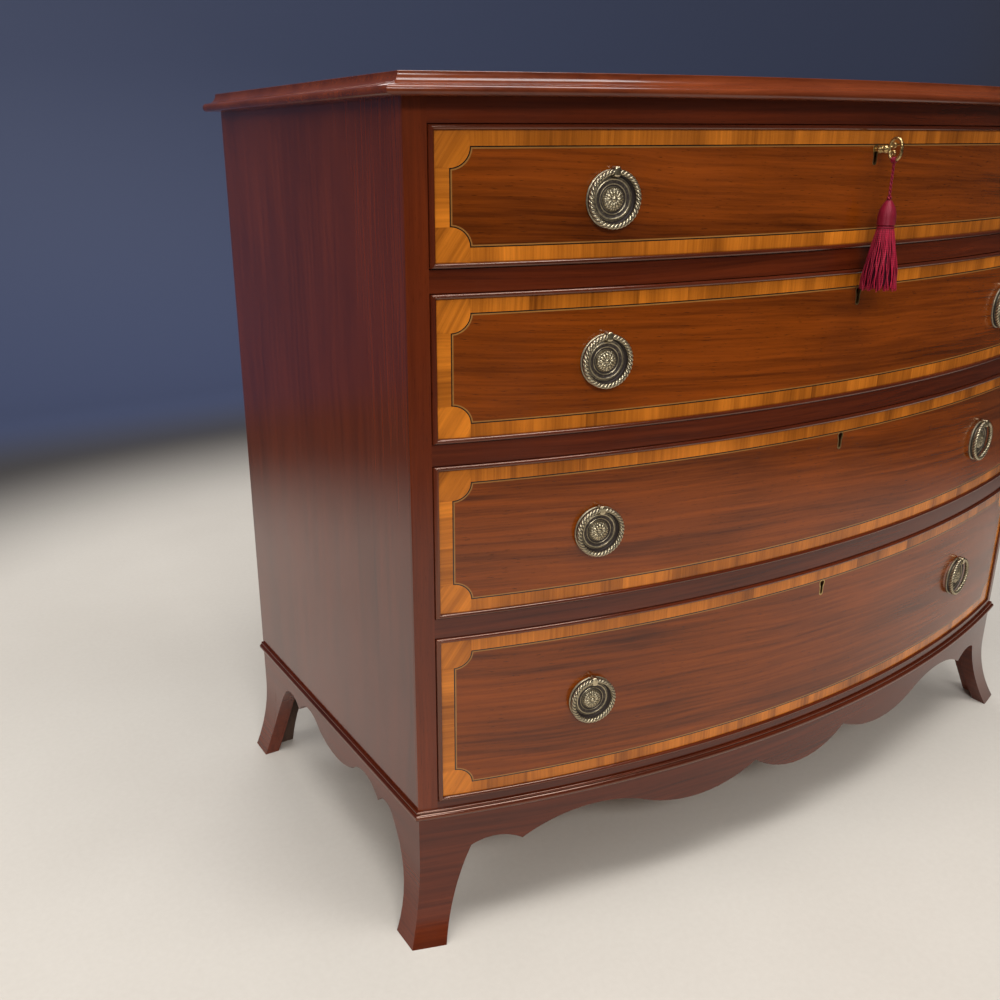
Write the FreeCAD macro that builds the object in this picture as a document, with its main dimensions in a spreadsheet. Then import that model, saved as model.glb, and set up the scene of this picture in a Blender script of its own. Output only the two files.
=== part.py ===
import FreeCAD, Part
import math
import os
from types import SimpleNamespace

import Sketcher
from FreeCAD import Rotation, Vector

# A bow front chest of four graduated drawers, in millimetres.
# X runs to the right, Y to the back and Z up. The origin is on the floor, under the middle of the whole chest.
# The front is part of a cylinder, whose upright axis is called the bow axis here. An offset is a distance
# outwards from that front, so a negative one lies inside the chest. What stands on both sides is made on the
# right and mirrored.

DRAWERS = ("top_drawer", "second_drawer", "third_drawer", "bottom_drawer")

SIZES = {
    # carcase
    "carcass_width": 1020,
    "carcass_depth": 470,
    "bow_rise": 82,
    "side_thickness": 20,
    "facing_thickness": 4,
    "bottom_thickness": 15,
    "rail_thickness": 21,
    "rail_depth": 60,
    "rail_housing": 8,
    "top_drawer_opening": 123,
    "second_drawer_opening": 142,
    "third_drawer_opening": 162,
    "bottom_drawer_opening": 196,
    "back_thickness": 10,
    "back_rebate": 10,
    "back_boards": 5,
    "back_board_gap": 0.6,
    "runner_width": 30,
    "dust_thickness": 6,
    "dust_groove": 8,
    "stop_width": 30,
    "stop_depth": 14,
    "stop_height": 5,
    "stop_place": 200,
    # top board
    "top_thickness": 20,
    "top_overhang": 22,
    "top_lip": 5.5,
    "lip_height": 2,
    "nose_height": 9,
    "nose_bulge": 4.3,
    "nose_step": 3,
    "cove_depth": 2.2,
    # base
    "plinth_height": 158,
    "bead_height": 8,
    "bead_bevel": 2.6,
    "bead_projection": 6,
    "bead_drop": 5,
    "fillet_height": 2.8,
    "fillet_projection": 3.2,
    "apron_thickness": 20,
    "flare_height": 100,
    "flare_side": 22,
    "flare_front": 24.8,
    "foot_width": 37,
    "foot_curve": 0.5,
    "shoulder_width": 56,
    "shoulder_drop": 49,
    "ear_width": 58,
    "ear_rise": 8.5,
    "tip_drop": 52,
    "arch_rise": 17,
    "lobe_reach": 250,
    "arch_drop": 37,
    "lobe_sag": 20,
    "centre_width": 160,
    "cusp_drop": 33,
    "centre_sag": 27,
    "side_foot_curve": 7,
    "side_shoulder_width": 62,
    "side_shoulder_drop": 44,
    "side_ear_width": 40,
    "side_ear_rise": 12,
    "side_tip_drop": 42,
    "side_hump_width": 68,
    "side_hump_drop": 37,
    "side_hump_rise": 15.5,
    "side_lobe_sag": 13,
    "rear_foot_curve": 14,
    "rear_shoulder_width": 81,
    "rear_shoulder_drop": 38,
    "rear_ear_width": 47,
    "rear_ear_rise": 10,
    "bracket_width": 95,
    "bracket_foot": 30,
    "bracket_thickness": 18,
    "bracket_curve": 16,
    "foot_block": 26,
    "foot_block_lift": 84,
    "glue_block": 18,
    "glue_block_length": 70,
    "front_block_spacing": 250,
    "side_block_spacing": 190,
    # drawers
    "drawer_gap": 0.8,
    "slide_clearance": 0.3,
    "rear_clearance": 14,
    "front_thickness": 22,
    "drawer_side": 11,
    "side_headroom": 5,
    "drawer_back": 9,
    "back_headroom": 9,
    "drawer_bottom": 6,
    "bottom_raise": 9,
    "bottom_groove": 5,
    "dovetail_pitch": 36,
    "dovetail_neck": 15,
    "dovetail_slope": 0.17,
    "cockbead_width": 4.5,
    "cockbead_depth": 6,
    "cockbead_projection": 3,
    "cockbead_bevel": 1.5,
    "veneer_thickness": 1,
    "crossband_width": 13.2,
    "stringing_width": 2.4,
    "ear_radius": 18,
    # handles
    "handle_inset": 189.8,
    "top_drawer_handle_drop": 3.8,
    "second_drawer_handle_drop": 0.3,
    "third_drawer_handle_drop": 3.8,
    "bottom_drawer_handle_drop": 0.5,
    "plate_radius": 26.5,
    "plate_edge": 1.2,
    "plate_height": 2.2,
    "rim_radius": 19.2,
    "rim_width": 3.6,
    "rim_height": 3.3,
    "rim_bevel": 0.9,
    "boss_radius": 11,
    "boss_height": 4.6,
    "boss_crown": 1.4,
    "shank_radius": 2.5,
    "shank_clearance": 0.1,
    "shank_end": 1,
    "nut_width": 12,
    "nut_thickness": 3,
    "nut_gap": 0.05,
    "ring_radius": 24.2,
    "ring_wire": 2.8,
    "ring_standoff": 6.6,
    "ring_play": 0.4,
    "lug_width": 7,
    "lug_wall": 1.6,
    "lug_nose": 3,
    # locks and key
    "key_drop": 23,
    "keyhole_radius": 3.4,
    "keyhole_foot": 1.8,
    "keyhole_shoulder": 4.5,
    "keyhole_length": 12.5,
    "escutcheon_wall": 1.2,
    "escutcheon_depth": 3,
    "escutcheon_projection": 0.3,
    "lock_width": 44,
    "lock_height": 46,
    "lock_depth": 11,
    "lock_wall": 1.4,
    "lock_plate_margin": 6,
    "lock_plate_drop": 4,
    "lock_plate": 1.5,
    "selvedge": 2,
    "bolt_width": 18,
    "bolt_thickness": 6,
    "bolt_clearance": 0.3,
    "bolt_travel": 7,
    "bolt_set_back": 0.5,
    "mortise_clearance": 0.6,
    "mortise_depth": 8,
    "key_shaft": 2.6,
    "key_shaft_clearance": 0.05,
    "key_stem": 15,
    "key_collar": 4,
    "key_collar_width": 2.4,
    "key_collar_place": 4,
    "key_shoulder_width": 4,
    "key_bow_length": 17.5,
    "key_bow_height": 24,
    "key_bow_wall": 3.2,
    "key_bow_thickness": 3.6,
    "key_bit_reach": 8.5,
    "key_bit_thickness": 2.2,
    "key_bit_clearance": 0.5,
    "lock_pin": 1.45,
    "lock_pin_length": 6,
    "lock_pin_clearance": 0.05,
    # tassel
    "cord_radius": 1.5,
    "cord_length": 37,
    "cord_gap": 0.3,
    "head_radius": 9.4,
    "head_skirt": 10,
    "head_top_radius": 2.4,
    "head_height": 28,
    "head_bulge": 1.8,
    "neck_radius": 8,
    "fringe_radius": 19.5,
    "fringe_length": 65,
    "fringe_bulge": 2.5,
    # how far a cutting shape runs past what it cuts
    "overrun": 20,
}

PLANES = {
    "XY": Rotation(),
    "XZ": Rotation(Vector(1, 0, 0), 90),
    "YZ": Rotation(Vector(1, 1, 1), 120),
}
ACROSS = {"XY": "z", "XZ": "y", "YZ": "x"}


class Size:
    """A number with the sheet formula behind it, so that arithmetic on sizes stays bound to the sheet."""

    def __init__(self, number, formula):
        self.number = float(number)
        self.formula = formula

    @staticmethod
    def of(value):
        if isinstance(value, Size):
            return value
        return Size(value, repr(float(value)) if value >= 0 else f"(0 - {abs(float(value))!r})")

    def __add__(self, other):
        other = Size.of(other)
        return Size(self.number + other.number, f"({self.formula} + {other.formula})")

    def __sub__(self, other):
        other = Size.of(other)
        return Size(self.number - other.number, f"({self.formula} - {other.formula})")

    def __mul__(self, other):
        other = Size.of(other)
        return Size(self.number * other.number, f"({self.formula} * {other.formula})")

    def __truediv__(self, other):
        other = Size.of(other)
        return Size(self.number / other.number, f"({self.formula} / {other.formula})")

    def __neg__(self):
        return Size(-self.number, f"(0 - {self.formula})")

    def __radd__(self, other):
        return Size.of(other) + self

    def __rsub__(self, other):
        return Size.of(other) - self

    def __rmul__(self, other):
        return Size.of(other) * self


def root(size):
    return Size(math.sqrt(size.number), f"sqrt({size.formula})")


def arcsine(size):
    return Size(math.degrees(math.asin(size.number)), f"asin({size.formula})")


# The document, its sheet of sizes, and a second sheet of the places that are worked out from them.

doc = FreeCAD.newDocument("bow_front_chest")
sheet = doc.addObject("Spreadsheet::Sheet", "sizes")
for row, (alias, number) in enumerate(SIZES.items(), 1):
    sheet.set(f"A{row}", alias)
    sheet.set(f"B{row}", str(number))
    sheet.setAlias(f"B{row}", alias)
places = doc.addObject("Spreadsheet::Sheet", "places")
doc.recompute()
s = SimpleNamespace(**{alias: Size(sheet.get(alias), f"sizes.{alias}") for alias in SIZES})
place_names = []
nodes = []


def place(alias, size):
    """Writes a formula in the sheet of places and returns the size that reads it."""
    place_names.append(alias)
    row = len(place_names)
    places.set(f"A{row}", alias)
    places.set(f"B{row}", "=" + size.formula.replace("places.", ""))
    places.setAlias(f"B{row}", alias)
    return Size(size.number, f"places.{alias}")


half = place("half_width", s.carcass_width / 2)
bow_radius = place("bow_radius", (half * half + s.bow_rise * s.bow_rise) / (2 * s.bow_rise))
tassel_place = place("tassel_place", s.key_stem + s.key_bow_length / 2)
y_back = place("back_plane", (s.carcass_depth + s.bow_rise + tassel_place + s.fringe_radius) / 2)
y_corner = place("front_corner", y_back - s.carcass_depth)
y_face = place("front_middle", y_corner - s.bow_rise)
bow_y = place("bow_axis", y_face + bow_radius)
y_past = place("past_front", y_face - 3 * s.overrun)
inner_half = place("inner_half_width", half - s.side_thickness)
y_rail_back = place("rail_back", y_corner + s.rail_depth)
y_boards = place("back_board_face", y_back - s.back_thickness)
bottom_floor = place("bottom_drawer_floor", s.plinth_height + s.bottom_thickness)
third_floor = place("third_drawer_floor", bottom_floor + s.bottom_drawer_opening + s.rail_thickness)
second_floor = place("second_drawer_floor", third_floor + s.third_drawer_opening + s.rail_thickness)
top_floor = place("top_drawer_floor", second_floor + s.second_drawer_opening + s.rail_thickness)
z_top_rail = place("top_rail_underside", top_floor + s.top_drawer_opening)
z_carcass = place("carcass_top", z_top_rail + s.rail_thickness)
drawer_half = place("drawer_half_width", inner_half - s.drawer_gap)
side_inside = place("drawer_side_inside", drawer_half - s.drawer_side)
y_rear = place("drawer_rear", y_boards - s.rear_clearance)
y_inner = place("front_inner_face", y_face + s.front_thickness)
y_slot = place("bolt_slot_front", y_inner - s.lock_depth + s.lock_wall)
y_slot_end = place("bolt_slot_end", y_slot + s.bolt_thickness + 2 * s.bolt_clearance)
bolt_foot = place("bolt_foot", s.key_shaft + 2 * s.bolt_clearance)
chamber = place("key_chamber", s.key_bit_reach + s.key_bit_clearance)
foot_out = place("foot_half_width", half + s.flare_side)
handle_x = place("handle_offset", half - s.handle_inset)
y_bow = place("key_bow_place", y_face - tassel_place)

FLOORS = dict(zip(DRAWERS, (top_floor, second_floor, third_floor, bottom_floor)))
OPENINGS = {name: getattr(s, f"{name}_opening") for name in DRAWERS}
TOPS = {name: place(f"{name}_top", FLOORS[name] + OPENINGS[name] - s.drawer_gap) for name in DRAWERS}
KEYS = {name: place(f"{name}_key_axis", TOPS[name] - s.key_drop) for name in DRAWERS}


def bow(x, offset=0):
    """The Y place of the bowed front, moved outwards by offset, at the distance x from the middle."""
    radius = bow_radius + offset
    return bow_y - root(radius * radius - x * x)


y_tail_neck = place("dovetail_neck_place", bow(side_inside, -s.front_thickness))
handle_y = place("handle_place", bow(handle_x))
handle_angle = arcsine(handle_x / bow_radius)


# Helpers that make one feature each and bind its sizes.


def bind(feature, **sizes):
    for prop, size in sizes.items():
        feature.setExpression(prop, Size.of(size).formula)
    return feature


def at(feature, x=None, y=None, z=None, angle=None):
    """Places a feature; angle turns it about its own upright axis."""
    for prop, size in (("Base.x", x), ("Base.y", y), ("Base.z", z), ("Rotation.Angle", angle)):
        if size is not None:
            feature.setExpression(f"Placement.{prop}", Size.of(size).formula)
    return feature


def bulge(start, end, height):
    """The radius and side of the arc from start to end that stands out by height to the right of its run."""
    wide = Size.of(end[0]) - start[0]
    tall = Size.of(end[1]) - start[1]
    return ((wide * wide + tall * tall) / 4 + height * height) / (2 * height), 1


def hollow(start, end, depth):
    """The same for an arc that stands out to the left of its run."""
    return bulge(start, end, depth)[0], -1


def arc_edge(start, end, radius, side):
    run = end - start
    right = Vector(run.y, -run.x, 0) * (side / run.Length)
    drop = math.sqrt(max(radius * radius - run.Length * run.Length / 4, 0))
    centre = (start + end) * 0.5 - right * drop
    first, last = (start, end) if side > 0 else (end, start)
    angles = [math.atan2(spot.y - centre.y, spot.x - centre.x) for spot in (first, last)]
    return Part.ArcOfCircle(Part.Circle(centre, Vector(0, 0, 1), radius), *angles)


def hold(sketch, size, kind, *where):
    """Adds a constraint of the size and binds it to the sheet."""
    index = sketch.addConstraint(Sketcher.Constraint(kind, *where, size.number))
    sketch.setExpression(f"Constraints[{index}]", size.formula)


def draw(sketch, points, arcs=None):
    """Draws a closed outline, anticlockwise. Corners are held from the origin, and arcs by their radius."""
    arcs = arcs or {}
    corners = [(Size.of(x), Size.of(y)) for x, y in points]
    spots = [Vector(x.number, y.number, 0) for x, y in corners]
    count = len(spots)
    ends = []
    for i, start in enumerate(spots):
        end = spots[(i + 1) % count]
        if i in arcs:
            radius, side = arcs[i]
            index = sketch.addGeometry(arc_edge(start, end, radius.number, side), False)
            hold(sketch, radius, "Radius", index)
            ends.append((index, 1, 2) if side > 0 else (index, 2, 1))
        else:
            index = sketch.addGeometry(Part.LineSegment(start, end), False)
            ends.append((index, 1, 2))
    for i, (x, y) in enumerate(corners):
        index, first, last = ends[i]
        following, meets, _ = ends[(i + 1) % count]
        sketch.addConstraint(Sketcher.Constraint("Coincident", index, last, following, meets))
        hold(sketch, x, "DistanceX", -1, 1, index, first)
        hold(sketch, y, "DistanceY", -1, 1, index, first)


def draw_circle(sketch, x, y, radius):
    x, y, radius = Size.of(x), Size.of(y), Size.of(radius)
    circle = Part.Circle(Vector(x.number, y.number, 0), Vector(0, 0, 1), radius.number)
    index = sketch.addGeometry(circle, False)
    hold(sketch, radius, "Radius", index)
    hold(sketch, x, "DistanceX", -1, 1, index, 3)
    hold(sketch, y, "DistanceY", -1, 1, index, 3)


def new_sketch(name, plane):
    sketch = doc.addObject("Sketcher::SketchObject", f"{name}_outline")
    sketch.Placement.Rotation = PLANES[plane]
    return sketch


def prism(name, plane, points, low, high, arcs=None):
    """An outline carried from low to high along the axis across its plane."""
    sketch = new_sketch(name, plane)
    at(sketch, **{ACROSS[plane]: high if plane == "XZ" else low})
    draw(sketch, points, arcs)
    solid = doc.addObject("Part::Extrusion", name)
    solid.Base = sketch
    solid.DirMode = "Normal"
    solid.Solid = True
    return bind(solid, LengthFwd=Size.of(high) - low)


def turned(name, sketch, axis):
    solid = doc.addObject("Part::Revolution", name)
    solid.Source = sketch
    solid.Axis = axis
    solid.Angle = 360
    solid.Solid = True
    return solid


def bowed(name, points, arcs=None):
    """A section of radius and height carried round the bow axis."""
    sketch = new_sketch(name, "XZ")
    draw(sketch, points, arcs)
    return at(turned(name, sketch, Vector(0, 0, 1)), y=bow_y)


def lathe(name, points, arcs=None):
    """A turned piece that faces the front, from an outline of radius and Y."""
    sketch = new_sketch(name, "XY")
    draw(sketch, points, arcs)
    return turned(name, sketch, Vector(0, 1, 0))


def block(name, x, y, z):
    """A rectangular block, from its low and high places along each axis."""
    solid = doc.addObject("Part::Box", name)
    bind(solid, Length=Size.of(x[1]) - x[0], Width=Size.of(y[1]) - y[0], Height=Size.of(z[1]) - z[0])
    return at(solid, x=x[0], y=y[0], z=z[0])


def rod(name, radius, y, x=0, z=0):
    """A round bar along Y."""
    solid = doc.addObject("Part::Cylinder", name)
    solid.Placement.Rotation = Rotation(Vector(1, 0, 0), -90)
    bind(solid, Radius=radius, Height=Size.of(y[1]) - y[0])
    return at(solid, x=x, y=y[0], z=z)


def disc(name, offset):
    """Everything behind the bowed front, moved outwards by offset."""
    solid = doc.addObject("Part::Cylinder", name)
    bind(solid, Radius=bow_radius + offset, Height=z_carcass + 2 * s.overrun)
    return at(solid, y=bow_y, z=-s.overrun)


def combine(kind, name, first, second):
    solid = doc.addObject(kind, name)
    solid.Base = first
    solid.Tool = second
    return solid


def common(name, first, second):
    return combine("Part::Common", name, first, second)


def cut(name, base, *tools):
    tool = tools[0] if len(tools) == 1 else group(f"{name}_cuts", *tools)
    return combine("Part::Cut", name, base, tool)


def fuse(name, *pieces):
    solid = doc.addObject("Part::MultiFuse", name)
    solid.Shapes = list(pieces)
    return solid


def group(name, *pieces):
    """Separate solids kept together as one object."""
    compound = doc.addObject("Part::Compound", name)
    compound.Links = list(pieces)
    return compound


def mirrored(name, source):
    """The same piece on the other side of the chest."""
    solid = doc.addObject("Part::Mirroring", name)
    solid.Source = source
    solid.Normal = Vector(1, 0, 0)
    return solid


def pair(name, right):
    """A piece and its mirror image, as one object."""
    return group(name, right, mirrored(f"{name}_mirror", right))


def shell(name, inner, outer):
    """A layer that follows the bowed front, between two offsets."""
    return cut(name, disc(f"{name}_outside", outer), disc(f"{name}_inside", inner))


def node(label, feature):
    """Marks a finished sub-part and gives it its name."""
    feature.Label = label
    nodes.append(feature)
    return feature


# The carcase.


def top_edge(reach):
    """Half-round nose, step, cove and lip at the edge of the top, from its underside to its upper face."""
    nose = reach + s.top_overhang - s.nose_bulge
    lip = reach + s.top_lip
    return [
        (nose, 0),
        (nose, s.nose_height),
        (nose - s.nose_step, s.nose_height),
        (lip, s.top_thickness - s.lip_height),
        (lip, s.top_thickness),
    ]


def make_top_board():
    """The top's moulded edge runs along the front and both sides, mitred; the back edge is square."""
    front = [(0, 0), *top_edge(bow_radius), (0, s.top_thickness)]
    front_arcs = {
        1: bulge(front[1], front[2], s.nose_bulge),
        3: hollow(front[3], front[4], s.cove_depth),
    }
    right = top_edge(half)
    across = right + [(-x, z) for x, z in reversed(right)]
    across_arcs = {
        0: bulge(across[0], across[1], s.nose_bulge),
        2: hollow(across[2], across[3], s.cove_depth),
        6: hollow(across[6], across[7], s.cove_depth),
        8: bulge(across[8], across[9], s.nose_bulge),
    }
    bow_solid = bowed("top_board_bow", front, front_arcs)
    width_solid = prism("top_board_width", "XZ", across, y_past, y_back, across_arcs)
    node("top_board", at(common("top_board", bow_solid, width_solid), z=z_carcass))


def make_stiles():
    """Facings on the front edges of the sides."""
    blank = block("stile_blank", (inner_half, half), (y_face, y_rail_back), (s.plinth_height, z_carcass))
    layer = shell("stile_layer", -s.facing_thickness, 0)
    return node("front_stiles", pair("front_stiles", common("stile_right", blank, layer)))


def bolt_mortise(name, underside):
    """The pocket over a drawer that its bolt rises into."""
    reach = s.bolt_width / 2 + s.mortise_clearance
    y = (y_slot - s.mortise_clearance, y_slot_end + s.mortise_clearance)
    return block(f"{name}_mortise", (-reach, reach), y, (underside - s.drawer_gap, underside + s.mortise_depth))


def make_rails(stiles):
    """Rails over the drawers, bowed in front, straight behind and housed in the sides; and the bottom board."""
    reach = inner_half + s.rail_housing
    face = disc("rail_face", 0)
    rails = []
    for name in DRAWERS:
        level = FLOORS[name] + OPENINGS[name]
        x, y, z = (-reach, reach), (y_face, y_rail_back), (level, level + s.rail_thickness)
        plank = common(f"{name}_rail_plank", block(f"{name}_rail_blank", x, y, z), face)
        rails.append(cut(f"{name}_rail", plank, stiles, bolt_mortise(name, level)))
    rear = block("rear_rail", (-reach, reach), (y_boards - s.rail_depth, y_boards), (z_top_rail, z_carcass))
    bottom_blank = block("bottom_blank", (-reach, reach), (y_face, y_boards), (s.plinth_height, bottom_floor))
    bottom = cut("bottom_board", common("bottom_plank", bottom_blank, face), stiles)
    return rails, rear, bottom


def make_runners():
    """Runners under the upper three drawers, with a dust board housed between each pair, and kickers on top."""
    inside = inner_half - s.runner_width
    runners, boards = [], []
    for name in DRAWERS[:3]:
        level = FLOORS[name] - s.rail_thickness
        middle = level + s.rail_thickness / 2
        edge = inside + s.dust_groove
        board = block(
            f"{name}_dust_board",
            (-edge, edge),
            (y_rail_back - s.dust_groove, y_boards),
            (middle - s.dust_thickness / 2, middle + s.dust_thickness / 2),
        )
        y, z = (y_rail_back, y_boards), (level, level + s.rail_thickness)
        blank = block(f"{name}_runner_blank", (inside, inner_half), y, z)
        runners.append(pair(f"{name}_runners", cut(f"{name}_runner", blank, board)))
        boards.append(board)
    y = (y_rail_back, y_boards - s.rail_depth)
    runners.append(pair("kickers", block("kicker", (inside, inner_half), y, (z_top_rail, z_carcass))))
    node("drawer_runners", group("drawer_runners", *runners))
    node("dust_boards", group("dust_boards", *boards))
    return boards


def make_sides(held):
    """Side boards, with the rails housed in them and a rebate for the back."""
    z = (s.plinth_height, z_carcass)
    blank = block("side_blank", (inner_half, half), (y_face, y_back), z)
    board = common("side_board", blank, disc("side_face", -s.facing_thickness))
    rebate = block("side_rebate", (inner_half, half - s.back_rebate), (y_boards, y_back), z)
    right = cut("side_right", board, rebate, *held)
    node("side_right", right)
    node("side_left", mirrored("side_left", right))


def make_back():
    """Upright back boards, side by side in the rebates."""
    reach = half - s.back_rebate
    pitch = 2 * reach / s.back_boards
    boards = []
    for i in range(round(s.back_boards.number)):
        left = pitch * i - reach
        x = (left + s.back_board_gap / 2, left + pitch - s.back_board_gap / 2)
        boards.append(block(f"back_board_{i + 1}", x, (y_boards, y_back), (s.plinth_height, z_carcass)))
    node("back_boards", group("back_boards", *boards))


def make_stops():
    """Blocks behind the drawer fronts, which stop each drawer with its front flush."""
    outside = s.stop_place + s.stop_width / 2
    front = bow(outside, -s.front_thickness) + s.slide_clearance
    stops = []
    for name in DRAWERS:
        z = (FLOORS[name], FLOORS[name] + s.stop_height)
        stop = block(f"{name}_stop", (outside - s.stop_width, outside), (front, front + s.stop_depth), z)
        stops.append(pair(f"{name}_stops", stop))
    node("drawer_stops", group("drawer_stops", *stops))


def make_carcass():
    stiles = make_stiles()
    rails, rear, bottom = make_rails(stiles)
    boards = make_runners()
    grooved = [cut(f"{rail.Name}_grooved", rail, board) for rail, board in zip(rails[1:], boards)]
    node("cross_rails", group("cross_rails", rails[0], *grooved, rear))
    node("bottom_board", bottom)
    make_sides([*rails, rear, bottom])
    make_top_board()
    make_back()
    make_stops()


# The base: a bead over the joint, and shaped aprons that end in splayed feet.


def mitre_prism(name, x, y, z):
    """All that lies in front of the upright planes from the carcase's front corners out to (x, y)."""
    out, forward = x - half, y_corner - y
    wide = (half + 3 * out, y_corner - 3 * forward)
    deep = (half - 5 * out, y_corner + 5 * forward)
    points = [
        (-wide[0], y_past),
        (wide[0], y_past),
        wide,
        deep,
        (-deep[0], deep[1]),
        (-wide[0], wide[1]),
    ]
    return prism(name, "XY", points, *z)


def bead_section(inside, outside, z0, z1, bevel):
    """A strip's section with the outer corners taken off, so that its nose is nearly half round."""
    return [
        (inside, z0),
        (outside - bevel, z0),
        (outside, z0 + bevel),
        (outside, z1 - bevel),
        (outside - bevel, z1),
        (inside, z1),
    ]


def make_base_moulding():
    """A bead under a fillet, planted over the joint between carcase and base, and mitred at the front corners."""
    z0 = s.plinth_height - s.bead_drop
    z_fillet = z0 + s.bead_height
    z1 = z_fillet + s.fillet_height

    def section(inside):
        bead = bead_section(inside, inside + s.bead_projection, z0, z_fillet, s.bead_bevel)
        fillet = inside + s.fillet_projection
        return bead[:-1] + [(fillet, z_fillet), (fillet, z1), (inside, z1)]

    outside = half + s.bead_projection
    mitre = mitre_prism("bead_mitre", outside, bow(outside, s.bead_projection), (z0 - s.overrun, z1 + s.overrun))
    front = common("bead_front", bowed("bead_bow", section(bow_radius)), mitre)
    right = cut("bead_right", prism("bead_strip", "XZ", section(half), y_face, y_back), mitre)
    node("base_moulding", group("base_moulding", front, right, mirrored("bead_left", right)))


def flare_section(inside, reach):
    """An apron's section: upright above the flare height, and sweeping outwards by reach below it."""
    outside = inside + s.apron_thickness
    points = [
        (inside + reach, 0),
        (outside + reach, 0),
        (outside, s.flare_height),
        (outside, s.plinth_height),
        (inside, s.plinth_height),
        (inside, s.flare_height),
    ]
    radius = flare_radius(reach)
    return points, {1: (radius, -1), 5: (radius, 1)}


def flare_radius(reach):
    return (s.flare_height * s.flare_height + reach * reach) / (2 * reach)


def shaped(points, heights):
    """Arcs for an outline's edges: a positive height stands out of the wood, a negative one goes into it."""
    arcs = {}
    for i, height in heights.items():
        ends = points[i], points[(i + 1) % len(points)]
        arcs[i] = bulge(*ends, height) if height.number > 0 else hollow(*ends, -height)
    return arcs


def front_outline():
    """The front apron: a drop in the middle, then on each side a lobe, an arch, a pointed ear and the foot."""
    top = s.plinth_height
    beyond = foot_out + s.overrun
    shoulder = half - s.shoulder_width
    right = [
        (s.centre_width / 2, top - s.cusp_drop),
        (s.lobe_reach, top - s.arch_drop),
        (shoulder - s.ear_width, top - s.tip_drop),
        (shoulder, top - s.shoulder_drop),
        (foot_out - s.foot_width, 0),
        (beyond, 0),
        (beyond, top),
    ]
    points = right + [(-x, z) for x, z in reversed(right)]
    edges = [s.lobe_sag, -s.arch_rise, -s.ear_rise, -s.foot_curve]
    heights = dict(enumerate(edges))
    heights.update({12 - i: edge for i, edge in enumerate(edges)})
    heights[13] = s.centre_sag
    return points, shaped(points, heights)


def make_front_apron(mitre):
    points, arcs = front_outline()
    face = prism("front_apron_face", "XZ", points, y_past, y_rail_back, arcs)
    points, arcs = flare_section(bow_radius - s.apron_thickness, s.flare_front)
    board = common("front_apron_board", bowed("front_apron_bow", points, arcs), face)
    node("front_apron", common("front_apron", board, mitre))


def side_outline():
    """A side apron: the front foot, an ear, a hump, a lobe, a hump, an ear and the wider rear foot."""
    top = s.plinth_height
    front_shoulder = y_corner + s.side_shoulder_width
    front_tip = front_shoulder + s.side_ear_width
    rear_shoulder = y_back - s.rear_shoulder_width
    rear_tip = rear_shoulder - s.rear_ear_width
    points = [
        (y_back - s.foot_width, 0),
        (y_back, 0),
        (y_back, top),
        (y_past, top),
        (y_past, 0),
        (bow(foot_out, s.flare_front) + s.foot_width, 0),
        (front_shoulder, top - s.side_shoulder_drop),
        (front_tip, top - s.side_tip_drop),
        (front_tip + s.side_hump_width, top - s.side_hump_drop),
        (rear_tip - s.side_hump_width, top - s.side_hump_drop),
        (rear_tip, top - s.side_tip_drop),
        (rear_shoulder, top - s.rear_shoulder_drop),
    ]
    heights = {
        5: -s.side_foot_curve,
        6: -s.side_ear_rise,
        7: -s.side_hump_rise,
        8: s.side_lobe_sag,
        9: -s.side_hump_rise,
        10: -s.rear_ear_rise,
        11: -s.rear_foot_curve,
    }
    return points, shaped(points, heights)


def make_side_aprons(mitre):
    points, arcs = side_outline()
    low, high = inner_half - s.overrun, foot_out + s.overrun
    face = prism("side_apron_face", "YZ", points, low, high, arcs)
    points, arcs = flare_section(inner_half, s.flare_side)
    board = common("side_apron_board", prism("side_apron_sweep", "XZ", points, y_face, y_back, arcs), face)
    node("side_aprons", pair("side_aprons", cut("side_apron_right", board, mitre)))


def make_rear_feet():
    """Plain brackets across the back, from each rear foot towards the middle."""
    inner = half - s.apron_thickness
    top = s.plinth_height
    points = [
        (inner + s.flare_side - s.bracket_foot, 0),
        (inner + s.flare_side, 0),
        (inner, s.flare_height),
        (inner, top),
        (inner - s.bracket_width, top),
    ]
    arcs = {1: (flare_radius(s.flare_side), -1), 4: hollow(points[4], points[0], s.bracket_curve)}
    bracket = prism("rear_bracket", "XZ", points, y_back - s.bracket_thickness, y_back, arcs)
    node("rear_feet", pair("rear_feet", bracket))


def make_foot_blocks():
    """Blocks glued behind the corners, and under the bottom board along the aprons."""
    top = s.plinth_height
    inner = half - s.apron_thickness
    corner_x = (inner - s.foot_block, inner)
    behind = disc("block_face", -s.apron_thickness)
    front_y = (y_face, y_corner + s.apron_thickness + s.foot_block)
    front_blank = block("front_block_blank", corner_x, front_y, (s.foot_block_lift, top))
    rear_y = (y_back - s.bracket_thickness - s.foot_block, y_back - s.bracket_thickness)
    rear = block("rear_block", corner_x, rear_y, (s.foot_block_lift, top))
    blocks = [pair("front_blocks", common("front_block", front_blank, behind)), pair("rear_blocks", rear)]
    z = (top - s.glue_block, top)
    long = s.glue_block_length / 2
    for i in (-1, 0, 1):
        x = i * s.front_block_spacing
        edge = bow(s.front_block_spacing + long if i else long, -s.apron_thickness)
        blank = block(f"glue_block_blank_{i + 2}", (x - long, x + long), (y_face, edge + s.glue_block), z)
        blocks.append(common(f"glue_block_{i + 2}", blank, behind))
    middle = (y_corner + y_back) / 2
    for i in (-1, 1):
        y = middle + i * s.side_block_spacing / 2
        piece = block(f"side_block_{i + 2}", (inner - s.glue_block, inner), (y - long, y + long), z)
        blocks.append(pair(f"side_blocks_{i + 2}", piece))
    node("foot_blocks", group("foot_blocks", *blocks))


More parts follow.
